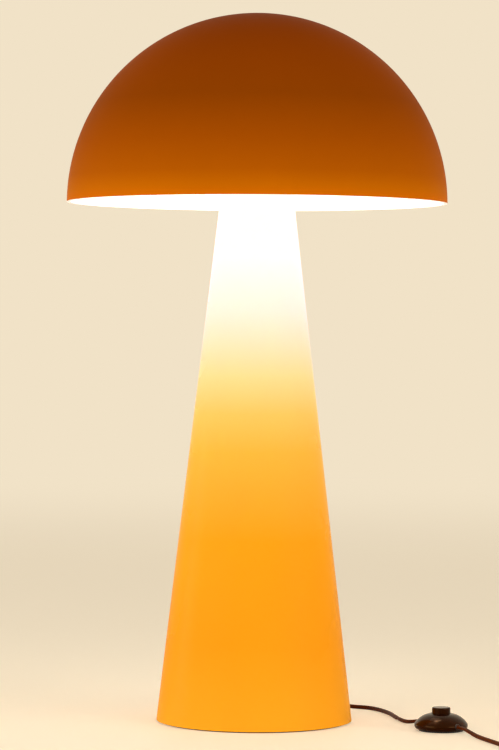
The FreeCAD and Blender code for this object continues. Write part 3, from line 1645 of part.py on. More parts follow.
def at_plug(piece):
    """Moves a piece of the plug to the coil's tail."""
    return placed(piece, plug_x, plug_y, "plug_thickness / 2", str(plug_angle))


plug_blank = fused("plug_blank", [shell_body, boot])
keep(at_plug(cut("plug", plug_blank, plug_pair("pin_holes", pin_hole))), "plug_body")
keep(at_plug(plug_pair("pin_cores", pin_core)), "plug_pins")
keep(at_plug(plug_pair("pin_sleeve_pair", pin_sleeve)), "plug_pin_sleeves")

# Every object is checked before anything is written.
doc.recompute()
failed = [thing.Name for thing in doc.Objects if {"Invalid", "Error"} & set(thing.State)]
for piece in finished:
    if piece.Shape.isNull() or not piece.Shape.isValid() or not piece.Shape.Solids:
        failed.append(piece.Label)
if failed:
    raise ValueError(f"these objects failed: {', '.join(failed)}")

os.makedirs("parts", exist_ok=True)
for piece in finished:
    piece.Shape.exportStep(f"parts/{piece.Label}.step")
    print(f"{piece.Label}: {len(piece.Shape.Solids)} solid(s), {piece.Shape.Volume / 1000:.2f} cm3")
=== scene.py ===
import math

import bmesh
import bpy
from mathutils import Matrix, Vector


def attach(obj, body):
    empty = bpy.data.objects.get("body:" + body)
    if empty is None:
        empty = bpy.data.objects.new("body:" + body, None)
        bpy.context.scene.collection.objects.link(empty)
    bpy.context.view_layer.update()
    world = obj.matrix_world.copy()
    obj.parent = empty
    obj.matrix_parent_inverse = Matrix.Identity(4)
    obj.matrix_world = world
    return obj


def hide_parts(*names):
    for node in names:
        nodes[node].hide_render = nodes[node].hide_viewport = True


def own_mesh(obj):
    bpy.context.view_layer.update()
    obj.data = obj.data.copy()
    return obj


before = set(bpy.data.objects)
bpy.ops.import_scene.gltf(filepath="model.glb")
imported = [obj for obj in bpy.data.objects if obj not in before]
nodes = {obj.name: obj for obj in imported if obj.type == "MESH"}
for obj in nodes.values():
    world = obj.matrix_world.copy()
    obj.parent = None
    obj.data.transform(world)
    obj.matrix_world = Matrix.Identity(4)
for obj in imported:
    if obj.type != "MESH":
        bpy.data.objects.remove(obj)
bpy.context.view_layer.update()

# Studio: a plain pale floor that runs out to a pale horizon, two broad soft lights in front of the
# lamp and a weak one low on the left. The view is the photograph's: from 3.5 m in front, just above
# the middle of the stem, 0.8 degrees downwards and turned by a third of a degree.
scene = bpy.context.scene
scene.view_settings.view_transform = "Standard"
camera = bpy.data.objects.new("camera", bpy.data.cameras.new("camera"))
camera.data.sensor_width = 36
camera.data.lens = 142.365
camera.data.clip_start = 0.05
camera.data.clip_end = 200
eye, downwards, leaning = (-0.00778, -3.51395, 0.4594), math.radians(0.8065), math.radians(0.349)
camera.matrix_world = (
    Matrix.Translation(eye)
    @ Matrix.Rotation(math.radians(90) - downwards, 4, "X")
    @ Matrix.Rotation(leaning, 4, "Z")
)
scene.collection.objects.link(camera)
scene.camera = camera


def tint(red, green, blue):
    """A colour for a socket, from the 0 to 255 values that a screen shows."""
    linear = []
    for shown in (red / 255, green / 255, blue / 255):
        linear.append(shown / 12.92 if shown <= 0.04045 else ((shown + 0.055) / 1.055) ** 2.4)
    return (*linear, 1)


PALE = tint(241, 226, 199)
world = bpy.data.worlds.new("studio")
scene.world = world
world.use_nodes = True
sky = world.node_tree
sky.nodes.clear()
rays = sky.nodes.new("ShaderNodeLightPath")
seen = sky.nodes.new("ShaderNodeBackground")
seen.inputs["Color"].default_value = PALE
seen.inputs["Strength"].default_value = 1
soft = sky.nodes.new("ShaderNodeBackground")
soft.inputs["Color"].default_value = (1, 0.95, 0.88, 1)
around = sky.nodes.new("ShaderNodeTexCoord")
upward = sky.nodes.new("ShaderNodeSeparateXYZ")
dimmer = sky.nodes.new("ShaderNodeMapRange")
high_up, horizon_light, overhead_light = 0.8, 0.62, 0.22
dimmer.inputs["From Max"].default_value = high_up
dimmer.inputs["To Min"].default_value = horizon_light
dimmer.inputs["To Max"].default_value = overhead_light
sky.links.new(around.outputs["Generated"], upward.inputs["Vector"])
sky.links.new(upward.outputs["Z"], dimmer.inputs["Value"])
sky.links.new(dimmer.outputs["Result"], soft.inputs["Strength"])
either = sky.nodes.new("ShaderNodeMath")
either.operation = "MAXIMUM"
any_of = sky.nodes.new("ShaderNodeMath")
any_of.operation = "MAXIMUM"
mixed = sky.nodes.new("ShaderNodeMixShader")
done = sky.nodes.new("ShaderNodeOutputWorld")
sky.links.new(rays.outputs["Is Camera Ray"], either.inputs[0])
sky.links.new(rays.outputs["Is Transmission Ray"], either.inputs[1])
sky.links.new(either.outputs["Value"], any_of.inputs[0])
sky.links.new(rays.outputs["Is Glossy Ray"], any_of.inputs[1])
sky.links.new(any_of.outputs["Value"], mixed.inputs["Fac"])
sky.links.new(soft.outputs["Background"], mixed.inputs[1])
sky.links.new(seen.outputs["Background"], mixed.inputs[2])
sky.links.new(mixed.outputs["Shader"], done.inputs["Surface"])

floor_radius, floor_glow, shaded_to, plain_from = 60, 0.4, 0.9, 6
mesh = bpy.data.meshes.new("floor")
edit = bmesh.new()
bmesh.ops.create_circle(edit, cap_ends=True, segments=96, radius=floor_radius)
edit.to_mesh(mesh)
edit.free()
floor = bpy.data.objects.new("floor", mesh)
scene.collection.objects.link(floor)
paint = bpy.data.materials.new("pale_floor")
paint.use_nodes = True
tree = paint.node_tree
shader = tree.nodes["Principled BSDF"]
shader.inputs["Base Color"].default_value = PALE
shader.inputs["Roughness"].default_value = 0.55
shader.inputs["Specular IOR Level"].default_value = 0.25
rays = tree.nodes.new("ShaderNodeLightPath")
lift = tree.nodes.new("ShaderNodeMath")
lift.operation = "MULTIPLY"
lift.inputs[1].default_value = floor_glow
near = tree.nodes.new("ShaderNodeEmission")
near.inputs["Color"].default_value = PALE
both = tree.nodes.new("ShaderNodeAddShader")
tree.links.new(rays.outputs["Is Camera Ray"], lift.inputs[0])
tree.links.new(lift.outputs["Value"], near.inputs["Strength"])
tree.links.new(shader.outputs["BSDF"], both.inputs[0])
tree.links.new(near.outputs["Emission"], both.inputs[1])
far = tree.nodes.new("ShaderNodeEmission")
far.inputs["Color"].default_value = PALE
place = tree.nodes.new("ShaderNodeTexCoord")
reach = tree.nodes.new("ShaderNodeVectorMath")
reach.operation = "LENGTH"
fade = tree.nodes.new("ShaderNodeMapRange")
fade.interpolation_type = "SMOOTHERSTEP"
fade.inputs["From Min"].default_value = shaded_to
fade.inputs["From Max"].default_value = plain_from
mixed = tree.nodes.new("ShaderNodeMixShader")
tree.links.new(place.outputs["Object"], reach.inputs[0])
tree.links.new(reach.outputs["Value"], fade.inputs["Value"])
tree.links.new(fade.outputs["Result"], mixed.inputs["Fac"])
tree.links.new(both.outputs["Shader"], mixed.inputs[1])
tree.links.new(far.outputs["Emission"], mixed.inputs[2])
tree.links.new(mixed.outputs["Shader"], tree.nodes["Material Output"].inputs["Surface"])
mesh.materials.append(paint)

for name, at, towards, width, height, watts in (
    ("front_left", (-2.7, -2.1, 0.75), (0, 0, 0.4), 2.6, 1.4, 60),
    ("front_right", (2.8, -2.0, 0.75), (0, 0, 0.4), 2.4, 1.4, 60),
    ("left_low", (-3.3, 0.4, 0.35), (0, 0, 0.45), 1.6, 1.2, 22),
):
    lamp = bpy.data.lights.new(name, "AREA")
    lamp.shape = "RECTANGLE"
    lamp.size, lamp.size_y, lamp.energy = width, height, watts
    holder = bpy.data.objects.new(name, lamp)
    aim = (Vector(towards) - Vector(at)).to_track_quat("-Z", "Y")
    holder.matrix_world = Matrix.Translation(at) @ aim.to_matrix().to_4x4()
    scene.collection.objects.link(holder)

# Stem: a straight cone of thin sheet steel in gloss amber lacquer, with the cord's hole low at the
# back. Its upper half carries painted light from the bulb: an emission up the stem, from white under
# the shade to plain lacquer below.


def new_material(name):
    """A named node material and its tree and shader."""
    material = bpy.data.materials.new(name)
    material.use_nodes = True
    return material, material.node_tree, material.node_tree.nodes["Principled BSDF"]


def new_group(name, numbers, outputs):
    """A shader node group with a Vector input, these number inputs and these outputs."""
    group = bpy.data.node_groups.new(name, "ShaderNodeTree")
    group.interface.new_socket("Vector", in_out="INPUT", socket_type="NodeSocketVector")
    for number, usual in numbers:
        socket = group.interface.new_socket(number, in_out="INPUT", socket_type="NodeSocketFloat")
        socket.default_value = usual
    for output in outputs:
        group.interface.new_socket(output, in_out="OUTPUT", socket_type="NodeSocketFloat")
    return group, group.nodes.new("NodeGroupInput"), group.nodes.new("NodeGroupOutput")


mottle, taken, given = new_group(
    "mottle", [("Scale", 20), ("Detail", 3), ("Low", 0), ("High", 1)], ["Value"]
)
noise = mottle.nodes.new("ShaderNodeTexNoise")
spread = mottle.nodes.new("ShaderNodeMapRange")
spread.inputs["From Min"].default_value = 0.3
spread.inputs["From Max"].default_value = 0.7
for socket in ("Vector", "Scale", "Detail"):
    mottle.links.new(taken.outputs[socket], noise.inputs[socket])
mottle.links.new(noise.outputs["Fac"], spread.inputs["Value"])
mottle.links.new(taken.outputs["Low"], spread.inputs["To Min"])
mottle.links.new(taken.outputs["High"], spread.inputs["To Max"])
mottle.links.new(spread.outputs["Result"], given.inputs["Value"])


def add_group(tree, group, vector=None, **numbers):
    """A group's node in a material, on Object coordinates unless another vector is given."""
    node = tree.nodes.new("ShaderNodeGroup")
    node.node_tree = group
    for name, number in numbers.items():
        node.inputs[name].default_value = number
    if vector is None:
        vector = tree.nodes.new("ShaderNodeTexCoord").outputs["Object"]
    tree.links.new(vector, node.inputs["Vector"])
    return node


def vary_roughness(tree, shader, scale, low, high, vector=None):
    """Roughness that wanders between two values."""
    node = add_group(tree, mottle, vector, Scale=scale, Detail=4, Low=low, High=high)
    tree.links.new(node.outputs["Value"], shader.inputs["Roughness"])


def vary_colour(tree, shader, first, second, scale, vector=None):
    """Base colour that wanders between two tints, and the node that mixes them."""
    node = add_group(tree, mottle, vector, Scale=scale, Detail=4, Low=0, High=1)
    blend = tree.nodes.new("ShaderNodeMix")
    blend.data_type = "RGBA"
    blend.inputs["A"].default_value = first
    blend.inputs["B"].default_value = second
    tree.links.new(node.outputs["Value"], blend.inputs["Factor"])
    tree.links.new(blend.outputs["Result"], shader.inputs["Base Color"])
    return blend


def add_relief(tree, shader, scale, height, vector=None):
    """Fine relief on the surface, this many metres high."""
    node = add_group(tree, mottle, vector, Scale=scale, Detail=2, Low=0, High=1)
    bump = tree.nodes.new("ShaderNodeBump")
    bump.inputs["Distance"].default_value = height
    bump.inputs["Strength"].default_value = 1
    tree.links.new(node.outputs["Value"], bump.inputs["Height"])
    tree.links.new(bump.outputs["Normal"], shader.inputs["Normal"])


height_share, taken, given = new_group("height_share", [("Low", 0), ("High", 1)], ["Value"])
parts = height_share.nodes.new("ShaderNodeSeparateXYZ")
share = height_share.nodes.new("ShaderNodeMapRange")
height_share.links.new(taken.outputs["Vector"], parts.inputs["Vector"])
height_share.links.new(parts.outputs["Z"], share.inputs["Value"])
height_share.links.new(taken.outputs["Low"], share.inputs["From Min"])
height_share.links.new(taken.outputs["High"], share.inputs["From Max"])
height_share.links.new(share.outputs["Result"], given.inputs["Value"])


def ramp_by_height(tree, low, high, stops):
    """A colour ramp up the piece from one height to another, through (share, colour) stops."""
    node = add_group(tree, height_share, Low=low, High=high)
    ramp = tree.nodes.new("ShaderNodeValToRGB")
    elements = ramp.color_ramp.elements
    for index, (stop, colour) in enumerate(stops):
        element = elements[index] if index < 2 else elements.new(stop)
        element.position = stop
        element.color = (*colour, 1)
    tree.links.new(node.outputs["Value"], ramp.inputs["Fac"])
    return ramp


def dress(name, material):
    """Gives a carried-over node its material."""
    for place in nodes[name].material_slots:
        place.material = material


lacquer_grain, grain_height, painted_light_top = 420, 0.000005, 0.64
stem_lacquer, tree, shader = new_material("stem_lacquer")
vary_colour(tree, shader, tint(252, 154, 21), tint(253, 159, 25), 5)
vary_roughness(tree, shader, 9, 0.25, 0.29)
add_relief(tree, shader, lacquer_grain, grain_height)
shader.inputs["Specular IOR Level"].default_value = 0.02
shader.inputs["Specular Tint"].default_value = (1, 0.5, 0.1, 1)
# Painted bulb light: emission colours by height that stand in for the bulb's light on the stem.
painted_bulb_light_stops = (
    (0.0, (0.03, 0.05, 0.006)),
    (0.15, (0.02, 0.01, 0.0)),
    (0.34, (0.02, 0.037, 0.002)),
    (0.5, (0.05, 0.148, 0.042)),
    (0.57, (0.07, 0.238, 0.11)),
    (0.64, (0.1, 0.38, 0.29)),
    (0.76, (0.2, 0.5, 0.76)),
    (0.86, (0.3, 0.6, 1.0)),
    (1.0, (0.4, 0.7, 1.0)),
)
painted_bulb_light = ramp_by_height(tree, 0, painted_light_top, painted_bulb_light_stops)
tree.links.new(painted_bulb_light.outputs["Color"], shader.inputs["Emission Color"])
shader.inputs["Emission Strength"].default_value = 1
dress("stem_cone", stem_lacquer)

# Ballast: a black steel disc inside the stem's foot on a thin dark foam pad. Three zinc-plated
# brackets with screws and weld nuts hold it.
zinc_steel, tree, shader = new_material("zinc_steel")
vary_colour(tree, shader, tint(176, 178, 182), tint(198, 200, 204), 90)
vary_roughness(tree, shader, 240, 0.26, 0.42)
add_relief(tree, shader, 900, 0.00002)
shader.inputs["Metallic"].default_value = 1
for name in ("base_brackets", "base_screws", "bracket_weld_nuts", "cord_clamp_screws"):
    dress(name, zinc_steel)

ballast_steel, tree, shader = new_material("ballast_steel")
vary_colour(tree, shader, tint(46, 46, 49), tint(66, 65, 67), 60)
vary_roughness(tree, shader, 200, 0.45, 0.62)
add_relief(tree, shader, 700, 0.00006)
shader.inputs["Metallic"].default_value = 0.7
dress("base_plate", ballast_steel)

foam, tree, shader = new_material("foam")
vary_colour(tree, shader, tint(30, 28, 27), tint(48, 45, 43), 700)
add_relief(tree, shader, 1500, 0.0002)
shader.inputs["Roughness"].default_value = 0.95
for name in ("base_pad", "switch_pad"):
    dress(name, foam)

# Cord's way in: a black rubber bush with a tapered sleeve sits in the stem's hole, and a plastic
# clamp with two screws holds the cord down on the ballast. The foot switch has bushes of the same
# rubber.
bush_rubber, tree, shader = new_material("bush_rubber")
vary_colour(tree, shader, tint(26, 15, 10), tint(35, 20, 13), 160)
vary_roughness(tree, shader, 300, 0.45, 0.6)
add_relief(tree, shader, 800, 0.00004)
for name in ("cord_bush", "switch_bushes"):
    dress(name, bush_rubber)

holder_plastic, tree, shader = new_material("holder_plastic")
vary_colour(tree, shader, tint(236, 233, 224), tint(243, 240, 232), 40)
vary_roughness(tree, shader, 260, 0.34, 0.46)
add_relief(tree, shader, 1400, 0.00002)
for name in ("cord_clamp", "holder_cap", "holder_skirt"):
    dress(name, holder_plastic)

# Top of the stem: a welded cap, a threaded nipple with two nuts and the carrier's foot plate. Above
# it stand three rods with a spider and the turned spigot, on which the shade rests by its cast hub.
for name in (
    "stem_cap",
    "threaded_nipple",
    "nipple_nuts",
    "carrier_foot_plate",
    "carrier_legs",
    "carrier_leg_nuts",
    "carrier_spider",
    "shade_studs",
    "shade_stud_nuts",
):
    dress(name, zinc_steel)

cast_alloy, tree, shader = new_material("cast_alloy")
place = tree.nodes.new("ShaderNodeTexCoord")
stretched = tree.nodes.new("ShaderNodeMapping")
stretched.inputs["Scale"].default_value = (1, 1, 30)
tree.links.new(place.outputs["Object"], stretched.inputs["Vector"])
vary_colour(tree, shader, tint(182, 183, 186), tint(206, 207, 209), 60, stretched.outputs["Vector"])
vary_roughness(tree, shader, 120, 0.22, 0.38, stretched.outputs["Vector"])
add_relief(tree, shader, 90, 0.00003, stretched.outputs["Vector"])
shader.inputs["Metallic"].default_value = 1
for name in ("carrier_spigot", "shade_hub"):
    dress(name, cast_alloy)

# Shade: a spun steel dome a little under a half sphere, its rim turned in to a narrow hem. Outside
# it has a deep amber lacquer, painted darker towards the crown as shade, and inside a white enamel
# with a faint painted glow, which throws the bulb's light down the stem.


def line_to(edit, corner, radius, height):
    """A straight edge of a profile to a radius and height, and its far corner."""
    grown = bmesh.ops.extrude_vert_indiv(edit, verts=[corner])["verts"][0]
    grown.co = (radius, 0, height)
    return grown


def arc_to(edit, corner, centre, angle, steps):
    """An arc of a profile about a height on the axis, downwards where positive, and its end."""
    made = bmesh.ops.spin(
        edit, geom=[corner], cent=(0, 0, centre), axis=(0, 1, 0), angle=angle, steps=steps
    )
    return made["geom_last"][0]


def spun(edit, steps):
    """Turns the profile once round the vertical and closes it."""
    profile = edit.verts[:] + edit.edges[:]
    bmesh.ops.spin(edit, geom=profile, axis=(0, 0, 1), angle=math.tau, steps=steps, use_merge=True)
    bmesh.ops.remove_doubles(edit, verts=edit.verts[:], dist=1e-6)
    bmesh.ops.recalc_face_normals(edit, faces=edit.faces[:])


def as_piece(edit, name, sharp):
    """A finished mesh as an object, smooth but for edges sharper than this many degrees."""
    mesh = bpy.data.meshes.new(name)
    edit.to_mesh(mesh)
    edit.free()
    mesh.shade_smooth()
    mesh.set_sharp_from_angle(angle=math.radians(sharp))
    piece = bpy.data.objects.new(name, mesh)
    scene.collection.objects.link(piece)
    return piece


shade_radius, rim, crown, sheet, hem = 0.225, 0.6133, 0.8372, 0.0012, 0.0045
steps_down, steps_round = 56, 192
curve = (shade_radius**2 + (crown - rim) ** 2) / (2 * (crown - rim))
middle, inner = crown - curve, curve - sheet
edit = bmesh.new()
corner = edit.verts.new((0, 0, crown))
corner = arc_to(edit, corner, middle, math.acos((rim - middle) / curve), steps_down)
corner = line_to(edit, corner, shade_radius - hem, rim)
corner = line_to(edit, corner, shade_radius - hem, rim + sheet)
corner = line_to(edit, corner, math.sqrt(inner**2 - (rim + sheet - middle) ** 2), rim + sheet)
arc_to(edit, corner, middle, -math.acos((rim + sheet - middle) / inner), steps_down)
spun(edit, steps_round)
shade = as_piece(edit, "shade", 30)
bevel = shade.modifiers.new("rolled_edge", "BEVEL")
bevel.width = 0.0004
bevel.segments = 3
bevel.limit_method = "ANGLE"
bevel.angle_limit = math.radians(40)

shade_lacquer, tree, shader = new_material("shade_lacquer")
colour = vary_colour(tree, shader, tint(208, 104, 2), tint(203, 101, 2), 5)
vary_roughness(tree, shader, 9, 0.44, 0.5)
add_relief(tree, shader, lacquer_grain, grain_height)
shader.inputs["Specular IOR Level"].default_value = 0.006
shader.inputs["Specular Tint"].default_value = (1, 0.42, 0.03, 1)
# Painted shade: the lacquer is multiplied darker from the rim up towards the crown, as if less light
# fell there.
painted_shade_stops = (
    (0.0, (1, 1, 1)),
    (0.05, (0.84, 0.92, 0.5)),
    (0.13, (0.685, 0.675, 0.5)),
    (0.3, (0.58, 0.52, 0.5)),
    (0.52, (0.455, 0.39, 0.5)),
    (1.0, (0.585, 0.42, 0.2)),
)
painted_shade_ramp = ramp_by_height(tree, rim, crown, painted_shade_stops)
painted_shade_mix = tree.nodes.new("ShaderNodeMix")
painted_shade_mix.data_type = "RGBA"
painted_shade_mix.blend_type = "MULTIPLY"
painted_shade_mix.inputs["Factor"].default_value = 1
tree.links.new(colour.outputs["Result"], painted_shade_mix.inputs["A"])
tree.links.new(painted_shade_ramp.outputs["Color"], painted_shade_mix.inputs["B"])
tree.links.new(painted_shade_mix.outputs["Result"], shader.inputs["Base Color"])
shade.data.materials.append(shade_lacquer)

white_enamel, tree, shader = new_material("white_enamel")
vary_colour(tree, shader, tint(250, 246, 236), tint(253, 250, 243), 6)
vary_roughness(tree, shader, 60, 0.26, 0.36)
add_relief(tree, shader, 500, 0.00002)
# Painted light: the enamel glows faintly, as if lit by the bulb.
shader.inputs["Emission Color"].default_value = (1, 0.95, 0.86, 1)
shader.inputs["Emission Strength"].default_value = 0.45
shade.data.materials.append(white_enamel)

for face in shade.data.polygons:
    away = (face.center - Vector((0, 0, middle))).length
    face.material_index = 1 if away < curve - sheet / 2 else 0
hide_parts("shade_dome")
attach(shade, "shade")

# Lamp holder: a two-part plastic housing round a ceramic insert, with a brass screw shell, a centre
# contact and two terminal screws for the cord's cores.
ceramic, tree, shader = new_material("ceramic")
vary_colour(tree, shader, tint(238, 233, 222), tint(246, 242, 233), 50)
vary_roughness(tree, shader, 150, 0.18, 0.3)
dress("holder_insert", ceramic)

brass, tree, shader = new_material("brass")
vary_colour(tree, shader, tint(190, 150, 78), tint(214, 174, 98), 110)
vary_roughness(tree, shader, 300, 0.24, 0.4)
add_relief(tree, shader, 900, 0.00002)
shader.inputs["Metallic"].default_value = 1
for name in ("holder_screw_shell", "holder_centre_contact", "holder_terminal_screws"):
    dress(name, brass)

wire_cover, tree, shader = new_material("wire_cover")
vary_colour(tree, shader, tint(112, 66, 36), tint(126, 76, 42), 60)
vary_roughness(tree, shader, 200, 0.34, 0.44)
for name in ("holder_wires", "switch_wires"):
    dress(name, wire_cover)

# Bulb: an opal globe on a white plastic housing with a nickel screw cap, and inside it the ring of
# light sources on its board over the driver. It is lit.
opal_plastic, tree, shader = new_material("opal_plastic")
vary_colour(tree, shader, tint(250, 247, 238), tint(253, 250, 243), 12)
vary_roughness(tree, shader, 120, 0.3, 0.4)
shader.inputs["Emission Color"].default_value = (1, 0.96, 0.91, 1)
shader.inputs["Emission Strength"].default_value = 45
dress("bulb_globe", opal_plastic)

bulb_plastic, tree, shader = new_material("bulb_plastic")
vary_colour(tree, shader, tint(238, 236, 230), tint(245, 243, 238), 40)
vary_roughness(tree, shader, 300, 0.3, 0.42)
dress("bulb_housing", bulb_plastic)

nickel, tree, shader = new_material("nickel")
vary_colour(tree, shader, tint(205, 202, 196), tint(222, 219, 212), 120)
vary_roughness(tree, shader, 400, 0.14, 0.26)
shader.inputs["Metallic"].default_value = 1
for name in ("bulb_cap", "bulb_contact", "plug_pins"):
    dress(name, nickel)

black_glass, tree, shader = new_material("black_glass")
vary_colour(tree, shader, tint(18, 18, 20), tint(28, 28, 30), 90)
vary_roughness(tree, shader, 300, 0.1, 0.2)
dress("bulb_insulator", black_glass)

circuit_board, tree, shader = new_material("circuit_board")
vary_colour(tree, shader, tint(226, 228, 220), tint(238, 240, 232), 160)
vary_roughness(tree, shader, 400, 0.5, 0.65)
for name in ("bulb_led_board", "bulb_driver_board", "switch_spring_washer"):
    dress(name, circuit_board)

# Foot switch: a round two-part case of near-black gloss plastic on a foam ring, with a push button
# in its middle over a coil spring, brass contact strips and screw terminals.
switch_plastic, tree, shader = new_material("switch_plastic")
vary_colour(tree, shader, tint(30, 7, 2), tint(38, 10, 3), 60)
vary_roughness(tree, shader, 90, 0.13, 0.19)
shader.inputs["Specular IOR Level"].default_value = 0.2
shader.inputs["Specular Tint"].default_value = (1, 0.5, 0.16, 1)
for name in ("switch_base", "switch_cover", "switch_button", "plug_body", "plug_pin_sleeves"):
    dress(name, switch_plastic)
for name in ("switch_screws", "switch_terminal_screws"):
    dress(name, zinc_steel)
for name in ("switch_bridge", "switch_contact_strips", "switch_terminals"):
    dress(name, brass)

# The switch's spring: six turns of round steel wire between the washer and the button's roof. It
# shortens as the button goes down.
spring_steel, tree, shader = new_material("spring_steel")
vary_colour(tree, shader, tint(150, 150, 152), tint(176, 176, 178), 300)
vary_roughness(tree, shader, 800, 0.25, 0.4)
shader.inputs["Metallic"].default_value = 1

switch_at, wire_radius, spring_radius, spring_foot = (0.217, -0.078), 0.00045, 0.0061, 0.00525
spring_turns, spring_rise, spring_steps = 6, 0.0187, 168
edit = bmesh.new()
wire_end = Matrix.Translation((switch_at[0] + spring_radius, switch_at[1], spring_foot))
bmesh.ops.create_circle(
    edit,
    segments=12,
    radius=wire_radius,
    matrix=wire_end @ Matrix.Rotation(math.radians(90), 4, "X"),
)
bmesh.ops.spin(
    edit,
    geom=edit.verts[:] + edit.edges[:],
    cent=(*switch_at, 0),
    axis=(0, 0, 1),
    dvec=(0, 0, spring_rise / spring_steps),
    angle=spring_turns * math.tau,
    steps=spring_steps,
)
bmesh.ops.holes_fill(edit, edges=edit.edges[:])
bmesh.ops.recalc_face_normals(edit, faces=edit.faces[:])
spring = as_piece(edit, "button_spring", 60)
spring.data.materials.append(spring_steel)
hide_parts("switch_spring")
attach(spring, "stand")
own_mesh(spring)

# Cord: a light two-core flex, 5 mm wide and 3.4 mm thick, in dark satin plastic. It leaves the bush
# behind the stem, lies round its foot to the switch, and turns over once on the way. From the switch
# it runs on to a coil in two layers and to the plug.
cord_jacket, tree, shader = new_material("cord_jacket")
vary_colour(tree, shader, tint(68, 25, 3), tint(88, 34, 4), 150)
vary_roughness(tree, shader, 260, 0.38, 0.5)
shader.inputs["Specular IOR Level"].default_value = 0.12
shader.inputs["Specular Tint"].default_value = (1, 0.6, 0.25, 1)
add_relief(tree, shader, 900, 0.00003)
for name in ("cord_in_stem", "switch_cord_ends"):
    dress(name, cord_jacket)

outline = bpy.data.curves.new("flex_outline", "CURVE")
outline.dimensions = "2D"
around = outline.splines.new("POLY")
around.use_cyclic_u = True
core, apart, round_core = 0.0017, 0.0008, 118
ring = []
for side in (1, -1):
    for step in range(-5, 6):
        turn = math.radians(step * round_core / 5) + (0 if side == 1 else math.pi)
        ring.append((side * apart + core * math.cos(turn), core * math.sin(turn)))
around.points.add(len(ring) - 1)
for point, (across, up) in zip(around.points, reversed(ring)):
    point.co = (across, up, 0, 1)
outline_piece = bpy.data.objects.new("flex_outline", outline)
outline_piece.hide_render = True
outline_piece.hide_viewport = True
scene.collection.objects.link(outline_piece)


def flex(name, route):
    """A flat cord along a smooth line through (x, y, z, twist in degrees) points."""
    curve = bpy.data.curves.new(name, "CURVE")
    curve.dimensions = "3D"
    curve.twist_mode = "Z_UP"
    curve.bevel_mode = "OBJECT"
    curve.bevel_object = outline_piece
    curve.use_fill_caps = True
    curve.resolution_u = 8
    line = curve.splines.new("NURBS")
    line.points.add(len(route) - 1)
    for point, (x, y, z, twist) in zip(line.points, route):
        point.co = (x, y, z, 1)
        point.tilt = math.radians(twist)
    line.order_u = 3
    line.use_endpoint_u = True
    line.use_smooth = True
    curve.materials.append(cord_jacket)
    piece = bpy.data.objects.new(name, curve)
    scene.collection.objects.link(piece)
    return piece


to_switch = flex(
    "lead_to_switch",
    [
        (0.0346, 0.1293, 0.0160, 0),
        (0.0396, 0.1478, 0.0160, 0),
        (0.0516, 0.1598, 0.0120, 0),
        (0.0693, 0.1630, 0.0066, 0),
        (0.0860, 0.1562, 0.0030, 10),
        (0.0990, 0.1425, 0.0024, 30),
        (0.1105, 0.1275, 0.0024, 50),
        (0.1245, 0.1155, 0.0025, 60),
        (0.1410, 0.1070, 0.0025, 65),
        (0.1523, 0.0890, 0.0025, 65),
        (0.1605, 0.0670, 0.0024, 60),
        (0.1650, 0.0480, 0.0025, 65),
        (0.1668, 0.0350, 0.0025, 70),
        (0.1684, 0.0245, 0.0025, 66),
        (0.1700, 0.0168, 0.0024, 62),
        (0.1709, 0.0125, 0.0021, 0),
        (0.1718, 0.0080, 0.0023, -62),
        (0.1734, -0.0005, 0.0025, -70),
        (0.1757, -0.0110, 0.0025, -75),
        (0.1802, -0.0245, 0.0028, -65),
        (0.1868, -0.0353, 0.0044, -40),
        (0.1935, -0.0432, 0.0070, 0),
        (0.1991, -0.0515, 0.0070, 0),
    ],
)
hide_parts("cord_lamp_to_switch")
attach(to_switch, "stand")

route = [
    (0.2349, -0.1045, 0.0070, 0),
    (0.2405, -0.1128, 0.0070, 0),
    (0.2463, -0.1235, 0.0046, 20),
    (0.2513, -0.1365, 0.0027, 50),
    (0.2553, -0.1520, 0.0025, 65),
    (0.2605, -0.1700, 0.0025, 65),
    (0.2675, -0.1900, 0.0025, 65),
    (0.2745, -0.2105, 0.0024, 60),
]
coil_middle, coil_radius, coil_pitch = Vector((0.326, -0.236)), 0.0395, 0.0056
turns_in, turns_up, turns_out, steps_a_turn = 3.25, 0.5, 2.6833, 16
coil_start, run_in, on_edge, layer = math.radians(204), 0.022, 0.0025, 0.0054
inside = coil_radius - coil_pitch * turns_in
first = coil_middle + coil_radius * Vector((math.cos(coil_start), math.sin(coil_start)))
before = first + run_in * Vector((math.sin(coil_start), -math.cos(coil_start)))
route.append((before.x, before.y, on_edge, 90))
total = turns_in + turns_up + turns_out
steps = round(steps_a_turn * total)
for step in range(steps + 1):
    turned = total * step / steps
    angle = coil_start + math.tau * turned
    if turned < turns_in:
        radius, height = coil_radius - coil_pitch * turned, 0
    elif turned < turns_in + turns_up:
        climb = math.tau * (turned - turns_in)
        radius = inside - coil_pitch / 4 * math.sin(climb)
        height = layer * (1 - math.cos(climb)) / 2
    else:
        radius, height = inside + coil_pitch * (turned - turns_in - turns_up), layer
    at = coil_middle + radius * Vector((math.cos(angle), math.sin(angle)))
    route.append((at.x, at.y, on_edge + height, 90))
way = Vector((-math.sin(angle), math.cos(angle)))
to_the_plug = ((0.014, 0.0076, 60), (0.026, 0.0070, 20), (0.037, 0.00685, 0), (0.044, 0.00685, 0))
for along, height, twist in to_the_plug:
    beyond = at + along * way
    route.append((beyond.x, beyond.y, height, twist))
to_plug = flex("lead_to_plug", route)
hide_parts("cord_switch_to_coil", "cord_coil")
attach(to_plug, "stand")

# Coil's tie: a black nylon strap drawn tight round the turns at one place, so that the spare cord
# stays wound. Its tail goes through a small square head on top and is cut short.
tie_nylon, tree, shader = new_material("tie_nylon")
vary_colour(tree, shader, tint(22, 21, 21), tint(33, 32, 31), 200)
vary_roughness(tree, shader, 500, 0.38, 0.5)
add_relief(tree, shader, 1200, 0.00002)

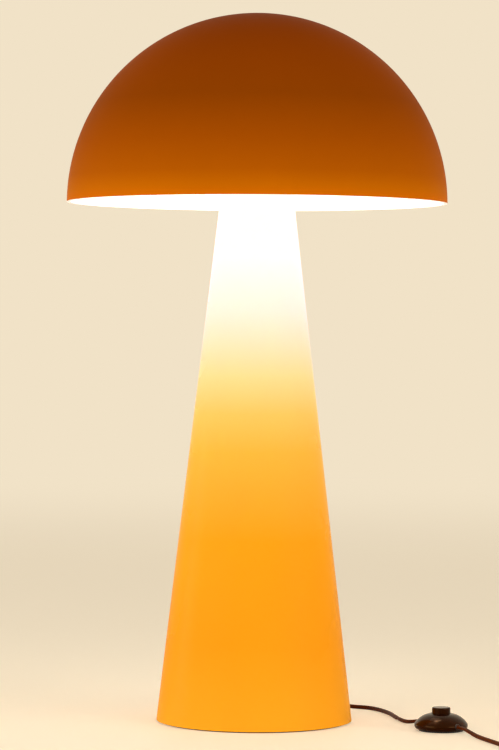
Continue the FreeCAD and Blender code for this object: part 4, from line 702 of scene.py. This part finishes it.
strap_width, strap_sheet, fold_radius = 0.0036, 0.0006, 0.0014
tie_angle = math.radians(100)
round_turns = (
    (0.0220, 0.0007),
    (0.0376, 0.0007),
    (0.0378, 0.0052),
    (0.0346, 0.0108),
    (0.0187, 0.0108),
    (0.0187, 0.0052),
)
edit = bmesh.new()
corners = [edit.verts.new((radius, -strap_width / 2, height)) for radius, height in round_turns]
sides = [edit.edges.new(pair) for pair in zip(corners, corners[1:] + corners[:1])]
grown = bmesh.ops.extrude_edge_only(edit, edges=sides)["geom"]
far = [part for part in grown if isinstance(part, bmesh.types.BMVert)]
bmesh.ops.translate(edit, verts=far, vec=(0, strap_width, 0))
folds = [
    edge for edge in edit.edges if abs(edge.verts[0].co.y - edge.verts[1].co.y) > strap_width / 2
]
bmesh.ops.bevel(
    edit, geom=folds, affect="EDGES", offset=fold_radius, segments=5, profile=0.5, material=-1
)
bmesh.ops.recalc_face_normals(edit, faces=edit.faces[:])
bmesh.ops.solidify(edit, geom=edit.faces[:], thickness=strap_sheet)
head = ((0.0268, 0, 0.0125), (0.0050, 0.0056, 0.0036), 0.0006)
tail = ((0.0226, 0, 0.0130), (0.0046, 0.0034, 0.0009), 0.0003)
for at, size, rounding in (head, tail):
    block = Matrix.Translation(at) @ Matrix.Diagonal((*size, 1))
    made = bmesh.ops.create_cube(edit, size=1, matrix=block)
    edges = list({edge for corner in made["verts"] for edge in corner.link_edges})
    bmesh.ops.bevel(
        edit, geom=edges, affect="EDGES", offset=rounding, segments=3, profile=0.5, material=-1
    )
bmesh.ops.recalc_face_normals(edit, faces=edit.faces[:])
turned_round = Matrix.Rotation(tie_angle, 3, "Z")
bmesh.ops.rotate(edit, verts=edit.verts[:], cent=(0, 0, 0), matrix=turned_round)
bmesh.ops.translate(edit, verts=edit.verts[:], vec=(coil_middle.x, coil_middle.y, 0))
tie = as_piece(edit, "coil_tie", 35)
tie.data.materials.append(tie_nylon)
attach(tie, "stand")

# The pieces on the first lead, which ends in the foot switch: the switch's carried-over nodes but
# its old spring, and the new spring. The second lead, wound in the tied coil, ends in the plug.
switch_pieces = [
    nodes[name]
    for name in sorted(nodes)
    if name.startswith("switch_") and name != "switch_spring"
]
switch_pieces.append(spring)
